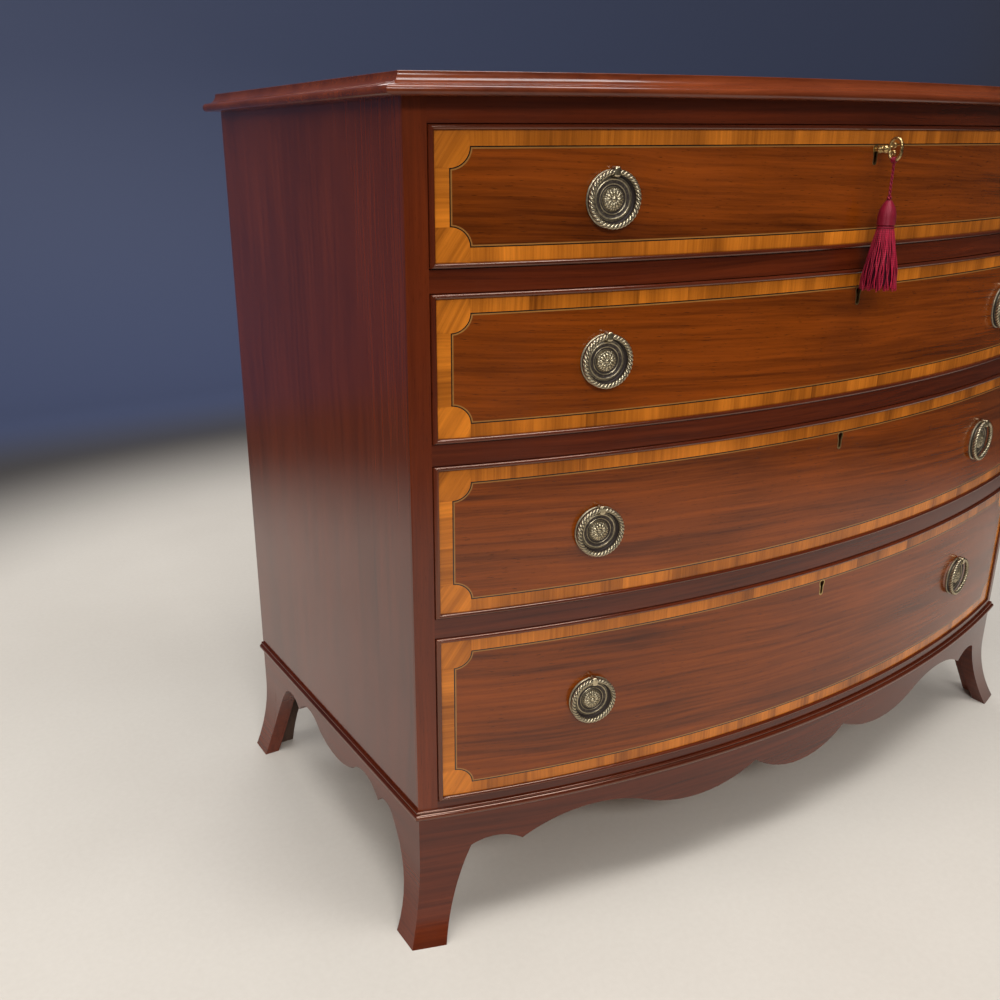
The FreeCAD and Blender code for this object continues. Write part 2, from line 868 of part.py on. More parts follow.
def make_base():
    mitre = mitre_prism("apron_mitre", foot_out, bow(foot_out, s.flare_front), (0, s.plinth_height))
    make_base_moulding()
    make_front_apron(mitre)
    make_side_aprons(mitre)
    make_rear_feet()
    make_foot_blocks()


# The drawers.


def face_prism(name, inset, low, high):
    """The drawer front's rectangle, made smaller all round by inset."""
    reach = drawer_half - inset
    points = [(-reach, low + inset), (reach, low + inset), (reach, high - inset), (-reach, high - inset)]
    return prism(name, "XZ", points, y_past, y_rail_back)


def eared_prism(name, extra, low, high):
    """The rectangle inside the crossband, with a quarter circle taken out of each corner."""
    inset = s.cockbead_width + s.crossband_width
    x, z0, z1 = drawer_half - inset, low + inset, high - inset
    step = root(s.ear_radius * s.ear_radius + 2 * s.ear_radius * extra)
    points = [
        (step - x, z0 + extra),
        (x - step, z0 + extra),
        (x - extra, z0 + step),
        (x - extra, z1 - step),
        (x - step, z1 - extra),
        (step - x, z1 - extra),
        (extra - x, z1 - step),
        (extra - x, z0 + step),
    ]
    radius = s.ear_radius + extra
    return prism(name, "XZ", points, y_past, y_rail_back, {i: (radius, -1) for i in (1, 3, 5, 7)})


def make_cockbead(name, low, high, lap):
    """Beads let into the four edges of the front, mitred at the corners."""
    wide, reach, bevel = s.cockbead_width, drawer_half, s.cockbead_bevel
    proud, y0, y1 = s.cockbead_projection, y_past, y_rail_back
    strips = []
    for edge, z0, z1 in (("lower", low, low + wide), ("upper", high - wide, high)):
        section = bead_section(bow_radius - s.cockbead_depth, bow_radius + proud, z0, z1, bevel)
        ring = bowed(f"{name}_{edge}_ring", section)
        below, above = (reach, reach - wide) if edge == "lower" else (reach - wide, reach)
        mitre = prism(f"{name}_{edge}_mitre", "XZ", [(-below, z0), (below, z0), (above, z1), (-above, z1)], y0, y1)
        strips.append(common(f"{name}_{edge}_bead", ring, mitre))
    inside = reach - wide
    section = [
        (inside, bow(inside, -2 * s.cockbead_depth)),
        (inside, bow(inside, proud - bevel)),
        (inside + bevel, bow(inside + bevel, proud)),
        (reach - bevel, bow(reach - bevel, proud)),
        (reach, bow(reach, proud - bevel)),
        (reach, bow(reach, -2 * s.cockbead_depth)),
    ]
    strip = prism(f"{name}_end_strip", "XY", section, low, high)
    ends = [(reach, low), (reach, high), (inside, high - wide), (inside, low + wide)]
    mitred = common(f"{name}_end_mitred", strip, prism(f"{name}_end_mitre", "XZ", ends, y0, y1))
    end = cut(f"{name}_end_bead", mitred, lap)
    node(f"{name}_cockbead", group(f"{name}_cockbead", *strips, pair(f"{name}_end_beads", end)))


def dovetails(name, low, high, neck, narrow_end, wide_end):
    """Tails on the right side board, spread over its height, that widen from the neck's Y towards one end."""
    count = max(2, round((high.number - low.number) / s.dovetail_pitch.number))
    step = (high - low) / count
    run = 1 if wide_end.number > narrow_end.number else -1
    slim = s.dovetail_neck / 2 - s.dovetail_slope * (neck - narrow_end) * run
    broad = s.dovetail_neck / 2 + s.dovetail_slope * (wide_end - neck) * run
    tails = []
    for i in range(count):
        middle = low + step * (i + 0.5)
        points = [
            (narrow_end, middle - slim),
            (wide_end, middle - broad),
            (wide_end, middle + broad),
            (narrow_end, middle + slim),
        ]
        if run < 0:
            points.reverse()
        tails.append(prism(f"{name}_{i + 1}", "YZ", points, side_inside, drawer_half))
    return group(name, *tails)


def keyhole_prism(name, axis, wall, y0, y1):
    """A round head with a narrower slot below it, made larger all round by wall."""
    head, foot = s.keyhole_radius + wall, s.keyhole_foot + wall
    shoulder = axis - s.keyhole_shoulder - wall
    end = axis - s.keyhole_length - wall / 2
    points = [(-foot, end), (foot, end), (foot, shoulder), (head, axis), (-head, axis), (-foot, shoulder)]
    arcs = {0: bulge(points[0], points[1], 0.9 * foot), 3: bulge(points[3], points[4], 0.95 * head)}
    return prism(name, "XZ", points, y0, y1, arcs)


def make_lock(name, top, axis):
    """A cut lock, let into the front's inner face, with its bolt, key pin and the thread round the keyhole."""
    case_x = s.lock_width / 2
    plate_x = case_x + s.lock_plate_margin
    y_case = y_inner - s.lock_depth
    case = block(f"{name}_case", (-case_x, case_x), (y_case, y_inner), (top - s.lock_height, top))
    back_z = (top - s.lock_height - s.lock_plate_drop, top)
    plate = block(f"{name}_plate", (-plate_x, plate_x), (y_inner - s.lock_plate, y_inner), back_z)
    selvedge = block(f"{name}_selvedge", (-plate_x, plate_x), (y_case, y_inner), (top - s.selvedge, top))
    blank = fuse(f"{name}_lock_blank", case, plate, selvedge)

    slot_x = s.bolt_width / 2 + s.bolt_clearance
    slot_z = (axis + bolt_foot - s.bolt_clearance, top + s.overrun)
    slot = block(f"{name}_slot", (-slot_x, slot_x), (y_slot, y_slot_end), slot_z)
    chamber_bore = rod(f"{name}_chamber", chamber, (y_slot, y_slot_end), z=axis)
    mouth = rod(f"{name}_mouth", s.key_shaft + s.key_shaft_clearance, (y_case - s.overrun, y_slot_end), z=axis)
    gap = s.key_bit_thickness / 2 + s.bolt_clearance
    ward = block(f"{name}_ward", (-gap, gap), (y_case - s.overrun, y_slot_end), (axis - chamber, axis))
    case_open = cut(f"{name}_case_open", blank, slot, chamber_bore, mouth, ward)
    behind = block(f"{name}_behind", (-plate_x, plate_x), (y_inner - s.lock_plate, y_inner + s.overrun), back_z)
    recess = fuse(f"{name}_lock_recess", blank, behind)
    pin = rod(f"{name}_pin", s.lock_pin, (y_slot_end - s.lock_pin_length, y_inner - s.lock_plate), z=axis)

    y_thread = y_face + s.escutcheon_depth
    outer = keyhole_prism(f"{name}_thread_outer", axis, s.escutcheon_wall, y_face - s.escutcheon_projection, y_thread)
    hole = keyhole_prism(f"{name}_keyhole", axis, Size.of(0), y_face - s.overrun, y_case)
    escutcheon = cut(f"{name}_escutcheon", outer, hole)
    lock = group(f"{name}_lock", fuse(f"{name}_lock_body", case_open, pin), escutcheon)
    node(f"{name}_lock", lock)

    bolt_x = s.bolt_width / 2
    bolt_y = (y_slot + s.bolt_clearance, y_slot_end - s.bolt_clearance)
    bolt = block(f"{name}_bolt", (-bolt_x, bolt_x), bolt_y, (axis + bolt_foot, top - s.bolt_set_back))
    node(f"{name}_bolt", bolt)
    return recess, outer, hole


def make_handles(name, height):
    """Round plates with a boss and a hinge lug, bolted through the front, and the rings that hang in the lugs."""
    flat, rim = s.plate_height, s.rim_height
    rim_in, rim_out = s.rim_radius - s.rim_width / 2, s.rim_radius + s.rim_width / 2
    shank_end = s.front_thickness + s.nut_gap + s.nut_thickness + s.shank_end
    outline = [
        (0, shank_end),
        (0, -(s.boss_height + s.boss_crown)),
        (s.boss_radius, -s.boss_height),
        (s.boss_radius, -flat),
        (rim_in, -flat),
        (rim_in + s.rim_bevel, -rim),
        (rim_out - s.rim_bevel, -rim),
        (rim_out, -flat),
        (s.plate_radius - s.plate_edge, -flat),
        (s.plate_radius, -s.plate_edge),
        (s.plate_radius, 0),
        (s.shank_radius, 0),
        (s.shank_radius, shank_end),
    ]
    crown = (s.boss_radius * s.boss_radius + s.boss_crown * s.boss_crown) / (2 * s.boss_crown)
    plate = lathe(f"{name}_plate_turned", outline, {1: (crown, 1)})

    bore = s.ring_wire + s.ring_play
    lug = bore + s.lug_wall
    z0, z1 = s.ring_radius - lug, s.ring_radius + lug
    nose = s.ring_standoff + lug - s.lug_nose
    lug_points = [(-nose, z0), (0, z0), (0, z1), (-nose, z1)]
    lug_arcs = {3: bulge(lug_points[3], lug_points[0], s.lug_nose)}
    lug_solid = prism(f"{name}_lug", "YZ", lug_points, -s.lug_width / 2, s.lug_width / 2, lug_arcs)
    eye = doc.addObject("Part::Cylinder", f"{name}_eye")
    eye.Placement.Rotation = Rotation(Vector(0, 1, 0), 90)
    bind(eye, Radius=bore, Height=2 * s.lug_width)
    at(eye, x=-s.lug_width, y=-s.ring_standoff, z=s.ring_radius)
    backplate = cut(f"{name}_backplate", fuse(f"{name}_plate_and_lug", plate, lug_solid), eye)

    nut_y = (s.front_thickness + s.nut_gap, s.front_thickness + s.nut_gap + s.nut_thickness)
    reach = s.nut_width / 2
    nut_blank = block(f"{name}_nut_blank", (-reach, reach), nut_y, (-reach, reach))
    thread = rod(f"{name}_thread", s.shank_radius + s.nut_gap, (0, shank_end))
    nut = cut(f"{name}_nut", nut_blank, thread)

    spot = {"x": handle_x, "y": handle_y, "z": height, "angle": handle_angle}
    mount = at(group(f"{name}_mount", backplate, nut), **spot)
    node(f"{name}_handle_mounts", pair(f"{name}_handle_mounts", mount))

    ring_sketch = new_sketch(f"{name}_ring", "XY")
    draw_circle(ring_sketch, s.ring_radius, -s.ring_standoff, s.ring_wire)
    ring = at(turned(f"{name}_ring_right", ring_sketch, Vector(0, 1, 0)), **spot)
    node(f"{name}_ring_right", ring)
    node(f"{name}_ring_left", mirrored(f"{name}_ring_left", ring))

    clear = s.shank_radius + s.shank_clearance
    hole = group(f"{name}_shank_hole", rod(f"{name}_shank_bore", clear, (-s.overrun, 2 * s.overrun)))
    return pair(f"{name}_shank_holes", at(hole, **spot))


def make_drawer(name, layers):
    """A bowed front lap dovetailed to its sides, a back in through dovetails and a bottom in grooves."""
    low, top, axis = FLOORS[name] + s.drawer_gap, TOPS[name], KEYS[name]
    side_low = FLOORS[name] + s.slide_clearance
    side_high = top - s.side_headroom
    bottom_z = (side_low + s.bottom_raise, side_low + s.bottom_raise + s.drawer_bottom)
    back_z = (bottom_z[1], top - s.back_headroom)

    lock_recess, thread, keyhole = make_lock(name, top, axis)
    shank_holes = make_handles(name, (low + top) / 2 - getattr(s, f"{name}_handle_drop"))
    make_cockbead(name, low, top, layers.lap)

    edge = side_inside + s.bottom_groove
    bottom_blank = block(f"{name}_bottom_blank", (-edge, edge), (y_face, y_rear), bottom_z)
    bottom = node(f"{name}_bottom", common(f"{name}_bottom", bottom_blank, layers.bottom_edge))

    front_tails = common(
        f"{name}_front_tails",
        dovetails(
            f"{name}_front_tail",
            side_low,
            side_high,
            y_tail_neck,
            y_tail_neck + s.overrun / 2,
            y_tail_neck - 2 * s.overrun,
        ),
        layers.lap,
    )
    whole = face_prism(f"{name}_whole", Size.of(0), low, top)
    blank = common(f"{name}_front_blank", whole, layers.front)
    joined = cut(f"{name}_front_joined", blank, pair(f"{name}_tails", front_tails))

    outside = face_prism(f"{name}_outside", -s.overrun / 2, low, top)
    inside = face_prism(f"{name}_inside", s.cockbead_width, low, top)
    string_outer = eared_prism(f"{name}_string_outer", Size.of(0), low, top)
    string_inner = eared_prism(f"{name}_string_inner", s.stringing_width, low, top)
    rebate = common(f"{name}_rebate", cut(f"{name}_frame", outside, inside), layers.bead)
    recess = common(f"{name}_recess", cut(f"{name}_band", inside, string_inner), layers.veneer_space)
    front = cut(
        f"{name}_front", joined, rebate, recess, bottom, lock_recess, thread, keyhole, shank_holes
    )
    node(f"{name}_front", front)

    crossband = common(
        f"{name}_crossband", cut(f"{name}_crossband_face", inside, string_outer), layers.veneer
    )
    stringing = common(
        f"{name}_stringing", cut(f"{name}_stringing_face", string_outer, string_inner, thread), layers.veneer
    )
    node(f"{name}_banding", group(f"{name}_banding", crossband, stringing))

    y_back_front = y_rear - s.drawer_back
    rear_tails = dovetails(
        f"{name}_rear_tail", *back_z, y_back_front, y_back_front - s.drawer_gap, y_rear + s.drawer_gap
    )
    back_blank = block(f"{name}_back_blank", (-drawer_half, drawer_half), (y_back_front, y_rear), back_z)
    rear_tail_pair = pair(f"{name}_rear_tails", rear_tails)
    back = cut(f"{name}_back", back_blank, rear_tail_pair)
    side_blank = block(f"{name}_side_blank", (side_inside, drawer_half), (y_face, y_rear), (side_low, side_high))
    side_plank = common(f"{name}_side_plank", side_blank, layers.lap)
    side = cut(f"{name}_side", side_plank, joined, back, bottom)
    node(f"{name}_box", group(f"{name}_box", pair(f"{name}_sides", side), back))


def make_drawers():
    layers = SimpleNamespace(
        front=shell("front_layer", -s.front_thickness, 0),
        bead=shell("bead_layer", -s.cockbead_depth, s.overrun),
        veneer_space=shell("veneer_space", -s.veneer_thickness, s.overrun),
        veneer=shell("veneer_layer", -s.veneer_thickness, 0),
        lap=disc("lap_face", -s.cockbead_depth),
        bottom_edge=disc("bottom_edge", s.bottom_groove - s.front_thickness),
    )
    for name in DRAWERS:
        make_drawer(name, layers)


# The key in the top drawer's lock, and its tassel.


def sketch_in(body, name, plane):
    sketch = body.newObject("Sketcher::SketchObject", name)
    origin_plane = next(f for f in body.Origin.OriginFeatures if f.Role == f"{plane}_Plane")
    sketch.AttachmentSupport = [(origin_plane, "")]
    sketch.MapMode = "FlatFace"
    return sketch


def pad_both_ways(body, name, sketch, thickness):
    feature = body.newObject("PartDesign::Pad", name)
    feature.Profile = sketch
    feature.Midplane = True
    return bind(feature, Length=thickness)


def make_key():
    """A pipe key: a turned shaft that fits over the lock's pin, a bit that hangs down and a pierced oval bow."""
    body = doc.addObject("PartDesign::Body", "key")
    end = y_slot_end - s.bolt_clearance - y_face
    pipe_end = end - s.lock_pin_length - s.bolt_clearance
    bore = s.lock_pin + s.lock_pin_clearance
    shoulder = -s.key_stem + s.key_shoulder_width
    collar = -s.key_collar_place
    stem = sketch_in(body, "key_stem", "YZ")
    draw(
        stem,
        [
            (-s.key_stem - s.key_bow_wall / 2, 0),
            (pipe_end, 0),
            (pipe_end, bore),
            (end, bore),
            (end, s.key_shaft),
            (collar, s.key_shaft),
            (collar, s.key_collar),
            (collar - s.key_collar_width, s.key_collar),
            (collar - s.key_collar_width, s.key_shaft),
            (shoulder, s.key_shaft),
            (shoulder, s.key_collar),
            (-s.key_stem, s.key_collar),
            (-s.key_stem - s.key_bow_wall / 2, s.key_shaft),
        ],
    )
    shaft = body.newObject("PartDesign::Revolution", "key_shaft")
    shaft.Profile = stem
    shaft.ReferenceAxis = (stem, ["H_Axis"])
    shaft.Angle = 360
    ring = sketch_in(body, "key_bow_outline", "YZ")
    for inset in (Size.of(0), s.key_bow_wall):
        wide, tall = s.key_bow_length / 2 - inset, s.key_bow_height / 2 - inset
        cap = 0.9 * wide
        low, high = -tassel_place - wide, -tassel_place + wide
        oval = [(low, cap - tall), (high, cap - tall), (high, tall - cap), (low, tall - cap)]
        draw(ring, oval, {0: bulge(oval[0], oval[1], cap), 2: bulge(oval[2], oval[3], cap)})
    pad_both_ways(body, "key_bow", ring, s.key_bow_thickness)
    bit = sketch_in(body, "key_bit_outline", "YZ")
    inner = (bore + s.key_shaft) / 2
    start = end - s.bolt_thickness
    draw(bit, [(start, -s.key_bit_reach), (end, -s.key_bit_reach), (end, -inner), (start, -inner)])
    pad_both_ways(body, "key_bit", bit, s.key_bit_thickness)
    at(body, y=y_face, z=KEYS["top_drawer"])
    node("key", body)


def upright_lathe(name, points, arcs, z):
    """A turned piece under the key's bow, from an outline of radius and height."""
    sketch = new_sketch(name, "XZ")
    draw(sketch, points, arcs)
    return node(name, at(turned(name, sketch, Vector(0, 0, 1)), y=y_bow, z=z))


def make_tassel():
    """A short cord that the tassel's weight pulls straight, the wound head and the flared fringe."""
    z_cord = KEYS["top_drawer"] - s.key_bow_height / 2 - s.cord_gap
    cord = doc.addObject("Part::Cylinder", "tassel_cord")
    bind(cord, Radius=s.cord_radius, Height=s.cord_length)
    node("tassel_cord", at(cord, y=y_bow, z=z_cord - s.cord_length))

    tall, wide = s.head_height, s.head_radius
    head = [(0, 0), (wide, 0), (wide, s.head_skirt), (s.head_top_radius, tall), (0, tall)]
    head_arcs = {2: bulge(head[2], head[3], s.head_bulge)}
    z_head = z_cord - s.cord_length - tall
    upright_lathe("tassel_head", head, head_arcs, z_head)

    long = s.fringe_length
    fringe = [(0, 0), (s.fringe_radius, 0), (s.neck_radius, long), (0, long)]
    fringe_arcs = {1: bulge(fringe[1], fringe[2], s.fringe_bulge)}
    upright_lathe("tassel_fringe", fringe, fringe_arcs, z_head - long)


def check_and_write():
    doc.recompute()
    failed = [f.Name for f in doc.Objects if "Invalid" in f.State or "Error" in f.State]
    if failed:
        raise RuntimeError(f"failed features: {failed}")
    for feature in nodes:
        if feature.Shape.isNull() or not feature.Shape.isValid():
            raise RuntimeError(f"bad shape: {feature.Label}")
    os.makedirs("parts", exist_ok=True)
    for feature in nodes:
        feature.Shape.exportStep(f"parts/{feature.Label}.step")
    print(f"{len(nodes)} sub-parts")


make_carcass()
make_base()
make_drawers()
make_key()
make_tassel()
check_and_write()
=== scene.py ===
import math
from itertools import pairwise

import bmesh
import bpy
import numpy as np
from mathutils import Matrix, Vector


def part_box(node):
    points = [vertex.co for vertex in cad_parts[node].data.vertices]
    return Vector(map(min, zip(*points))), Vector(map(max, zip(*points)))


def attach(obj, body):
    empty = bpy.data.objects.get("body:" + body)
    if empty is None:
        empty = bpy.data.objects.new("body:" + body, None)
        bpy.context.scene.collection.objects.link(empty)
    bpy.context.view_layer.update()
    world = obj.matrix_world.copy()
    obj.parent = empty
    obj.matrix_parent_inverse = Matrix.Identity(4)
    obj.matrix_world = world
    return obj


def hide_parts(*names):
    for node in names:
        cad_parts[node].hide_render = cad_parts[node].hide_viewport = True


bl_info = {
    "name": "Bow Front Chest Finish",
    "version": (1, 0, 0),
    "blender": (4, 5, 0),
    "location": "View3D > Sidebar > Chest",
    "description": "Polished surfaces, inlay, brasses and tassel for a bow front chest of drawers",
    "category": "Object",
}

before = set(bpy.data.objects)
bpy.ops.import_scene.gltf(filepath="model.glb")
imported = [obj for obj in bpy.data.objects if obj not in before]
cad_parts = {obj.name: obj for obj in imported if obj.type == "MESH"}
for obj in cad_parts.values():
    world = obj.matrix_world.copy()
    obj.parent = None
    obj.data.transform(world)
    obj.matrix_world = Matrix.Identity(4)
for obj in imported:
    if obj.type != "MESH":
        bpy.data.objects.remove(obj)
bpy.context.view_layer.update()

# Places in metres, in the frame of the solids. An offset is a distance outwards from the bowed front.
HALF = 0.51  # half the width over the sides
INNER_HALF = 0.49
DRAWER_HALF = 0.4892
BOW_RISE = 0.082
BOW_RADIUS = (HALF**2 + BOW_RISE**2) / (2 * BOW_RISE)
Y_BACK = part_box("top_board")[1].y
Y_CORNER = Y_BACK - 0.47
Y_FACE = Y_CORNER - BOW_RISE
BOW_AXIS = Y_FACE + BOW_RADIUS
PLINTH = 0.158  # height of the joint between carcase and base
CARCASS_TOP = 0.88
DRAWERS = ("top_drawer", "second_drawer", "third_drawer", "bottom_drawer")
LEVELS = {name: (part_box(f"{name}_front")[0].z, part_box(f"{name}_front")[1].z) for name in DRAWERS}
KEY_DROP = 0.023
KEY_AXIS = LEVELS["top_drawer"][1] - KEY_DROP
TASSEL_Y = Y_FACE - 0.02375
CORD_TOP, CORD_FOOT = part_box("tassel_cord")[1].z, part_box("tassel_cord")[0].z
FRINGE_TOP, FRINGE_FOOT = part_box("tassel_fringe")[1].z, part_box("tassel_fringe")[0].z

# Skins over the solids, and the inlay.
SKIN = 0.0001  # how far a facing stands proud of its solid
VENEER = 0.0006
INLAY = 0.0008
BEAD_WIDTH = 0.0045
JOINT = 0.0004  # width of the darker joint between two lengths of crossband
JOINT_SHADE = 0.45

# Base.
FLARE_HEIGHT = 0.1
FLARE_SIDE = 0.022
FLARE_FRONT = 0.0248
APRON = 0.02  # thickness of the aprons
FOOT_WIDTH = 0.037
FOOT_OUT = HALF + FLARE_SIDE

# Handles.
HANDLE_X = 0.3202
HANDLE_ANGLE = math.asin(HANDLE_X / BOW_RADIUS)
PLATE_RADIUS = 0.0265
BOSS_RADIUS = 10.8  # in millimetres, as the heights of the back plate are
RING_RADIUS = 0.0242
RING_STANDOFF = 0.0066


# Arrays of points and faces.

# Evenly spaced numbers or points from a start to an end.
line = np.linspace


def around(count):
    """Evenly spaced angles of a whole turn, without the last."""
    return line(0, 2 * np.pi, count, endpoint=False)


def xyz(*parts):
    """Points from their coordinates, each a number or an array, spread over one grid."""
    return np.stack(np.broadcast_arrays(*parts), -1)


def bow(x, offset=0.0):
    """Y of the bowed front at x: the bow axis less the root of the squared radius less the squared x."""
    return BOW_AXIS - np.sqrt((BOW_RADIUS + offset) ** 2 - np.asarray(x, float) ** 2)


def grid_quads(rows, columns, wrap_rows=False, wrap_columns=False):
    """The four corners of every cell of a grid of points, which are numbered row by row."""
    i, j = np.meshgrid(
        np.arange(rows if wrap_rows else rows - 1),
        np.arange(columns if wrap_columns else columns - 1),
        indexing="ij",
    )
    below, beside = (i + 1) % rows, (j + 1) % columns
    cells = [i * columns + j, i * columns + beside, below * columns + beside, below * columns + j]
    return np.stack(cells, -1).reshape(-1, 4)


def looped(rows, wrap_rows=False):
    """A surface whose rows are closed loops of points; its last row may join the first."""
    return rows.reshape(-1, 3), grid_quads(*rows.shape[:2], wrap_rows, wrap_columns=True)


def plate(front, back, quads):
    """A closed plate between two copies of one mesh: an edge that only one face has gets a wall to its copy."""
    count, most = len(front), quads.max() + 1
    edges = quads[:, [0, 1, 1, 2, 2, 3, 3, 0]].reshape(-1, 2)
    edges = edges[edges[:, 0] != edges[:, 1]]
    rim = edges[~np.isin(edges @ (most, 1), edges @ (1, most))]
    walls = rim[:, [1, 0, 0, 1]] + (0, 0, count, count)
    return np.concatenate([front, back]), np.concatenate([quads, quads[:, ::-1] + count, walls])


def slab(front, back):
    """The same between two grids of points."""
    return plate(front.reshape(-1, 3), back.reshape(-1, 3), grid_quads(*front.shape[:2]))


def inlaid(flat, quads, depth):
    """A plate let into the bowed front: points of x and z, its face a skin proud and its back at depth."""
    x, z = flat.T
    return plate(xyz(x, bow(x, SKIN), z), xyz(x, bow(x, -depth), z), quads)


def tube(sections):
    """A closed bar through a row of closed sections, with each end fanned to its middle point."""
    points, sides = looped(sections)
    rows, count = sections.shape[:2]
    side = np.arange(count)
    beside = (side + 1) % count
    last = (rows - 1) * count
    start = np.full(count, rows * count)
    first_fan = np.stack([start, beside, side, side], -1)
    last_fan = np.stack([start + 1, side + last, beside + last, beside + last], -1)
    return np.concatenate([points, sections[[0, -1]].mean(1)]), np.concatenate([sides, first_fan, last_fan])


def lathe(profile, count=48):
    """A turned shape: each point of radius and height is carried round the upright axis."""
    radius, height = profile[:, :1], profile[:, 1:]
    angle = around(count)
    return looped(xyz(radius * np.cos(angle), radius * np.sin(angle), height))


def arc(start, end, bulge, count):
    """Points on the arc between two points that stands out by bulge to the right of the run."""
    start, end = np.asarray(start, float), np.asarray(end, float)
    run = end - start
    length = np.hypot(*run)
    right = np.array([run[1], -run[0]]) / length
    radius = (length**2 / 4 + bulge**2) / (2 * abs(bulge))
    turn = 2 * math.atan(2 * abs(bulge) / length)
    angle = line(-turn, turn, count)
    along = radius * np.sin(angle)
    out = radius * (np.cos(angle) - math.cos(turn)) * np.sign(bulge)
    return (start + end) / 2 + along[:, None] * run / length + out[:, None] * right


def chain(*pieces):
    """Joins runs of points that meet end to end."""
    return np.concatenate([pieces[0], *[piece[1:] for piece in pieces[1:]]])


def distance_along(points):
    """How far along a path each of its points lies."""
    return np.concatenate([[0], np.cumsum(np.linalg.norm(np.diff(points, axis=0), axis=1))])


def evenly(points, count, closed=True):
    """The same path through evenly spaced points."""
    if closed:
        points = np.concatenate([points, points[:1]])
    reach = distance_along(points)
    spots = line(0, reach[-1], count, endpoint=not closed)
    return np.stack([np.interp(spots, reach, column) for column in points.T], -1)


def rounded(points, radius, count=5):
    """A closed outline with each corner replaced by a small curve: the middle of two halfway blends."""
    points = np.asarray(points, float)

    def eased(other):
        run = other - points
        reach = radius / np.maximum(np.linalg.norm(run, axis=1, keepdims=True), 1e-9)
        return (points + run * np.minimum(reach, 0.45))[:, None]

    start, end = eased(np.roll(points, 1, 0)), eased(np.roll(points, -1, 0))
    t = line(0, 1, count)[None, :, None]
    return ((1 - t) ** 2 * start + 2 * t * (1 - t) * points[:, None] + t**2 * end).reshape(-1, 2)


class Shape:
    """Points and faces collected from several closed surfaces, each made to face outwards."""

    def __init__(self):
        self.points, self.faces, self.layers, self.count = [], [], {}, 0

    def add(self, surface, **layers):
        """Merges the surface's doubles, drops its faces without area and keeps the values of its layers."""
        points, faces = surface
        places, index = np.unique(np.round(points, 7), axis=0, return_inverse=True)
        index = index.reshape(-1)
        chosen = np.zeros(len(places), int)
        chosen[index] = np.arange(len(points))
        faces = index[faces]
        faces = faces[(faces == np.roll(faces, -1, 1)).sum(1) < 2]
        a, b, c, d = places[faces.T] - places.mean(0)
        if np.einsum("ij,ij->", a, np.cross(b, c) + np.cross(c, d)) < 0:
            faces = faces[:, ::-1]
        twins = (faces == np.roll(faces, -1, 1)).any(1)
        faces = (faces + self.count).tolist()
        self.faces += [list(dict.fromkeys(face)) if twin else face for face, twin in zip(faces, twins)]
        self.points.append(places)
        for name, value in layers.items():
            value = np.asarray(value, float)
            whole = value.ndim and len(value) == len(points)
            value = value[chosen] if whole else np.broadcast_to(value, (len(places), *value.shape))
            self.layers.setdefault(name, []).append(value)
        self.count += len(places)
        return self

    def mirrored(self):
        """Adds the mirror image of all so far, turned the right way out."""
        self.faces += [[v + self.count for v in face[::-1]] for face in self.faces]
        self.points.append(np.concatenate(self.points) * (-1, 1, 1))
        for values in self.layers.values():
            values.append(np.concatenate(values))
        self.count *= 2
        return self

    def piece(self, name, body, slot, look, *replaced, sharp=35):
        """Makes the object, which rides a body and has a look, and may replace a solid; its slot is not used."""
        points = np.concatenate(self.points)
        mesh = bpy.data.meshes.new(name)
        mesh.from_pydata(points.tolist(), [], self.faces)
        mesh.validate()
        if "grain" not in self.layers:
            self.layers["grain"] = [xyz(points[:, 0] + points[:, 1], points[:, 2], 0.0)]
        for layer, values in self.layers.items():
            values = np.concatenate(values)
            kind, field = ("FLOAT_VECTOR", "vector") if values.ndim == 2 else ("FLOAT", "value")
            attribute = mesh.attributes.new(layer, kind, "POINT")
            attribute.data.foreach_set(field, values.astype(np.float32).ravel())
        mesh.shade_smooth()
        mesh.set_sharp_from_angle(angle=math.radians(sharp))
        mesh.materials.append(LOOKS[look])
        made = linked(name, mesh)
        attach(made, body)
        if replaced:
            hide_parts(*replaced)
        return made


def linked(name, data):
    """A new object in the scene."""
    made = bpy.data.objects.new(name, data)
    bpy.context.scene.collection.objects.link(made)
    return made


# Materials.

GROUPS = {}
LOOKS = {}


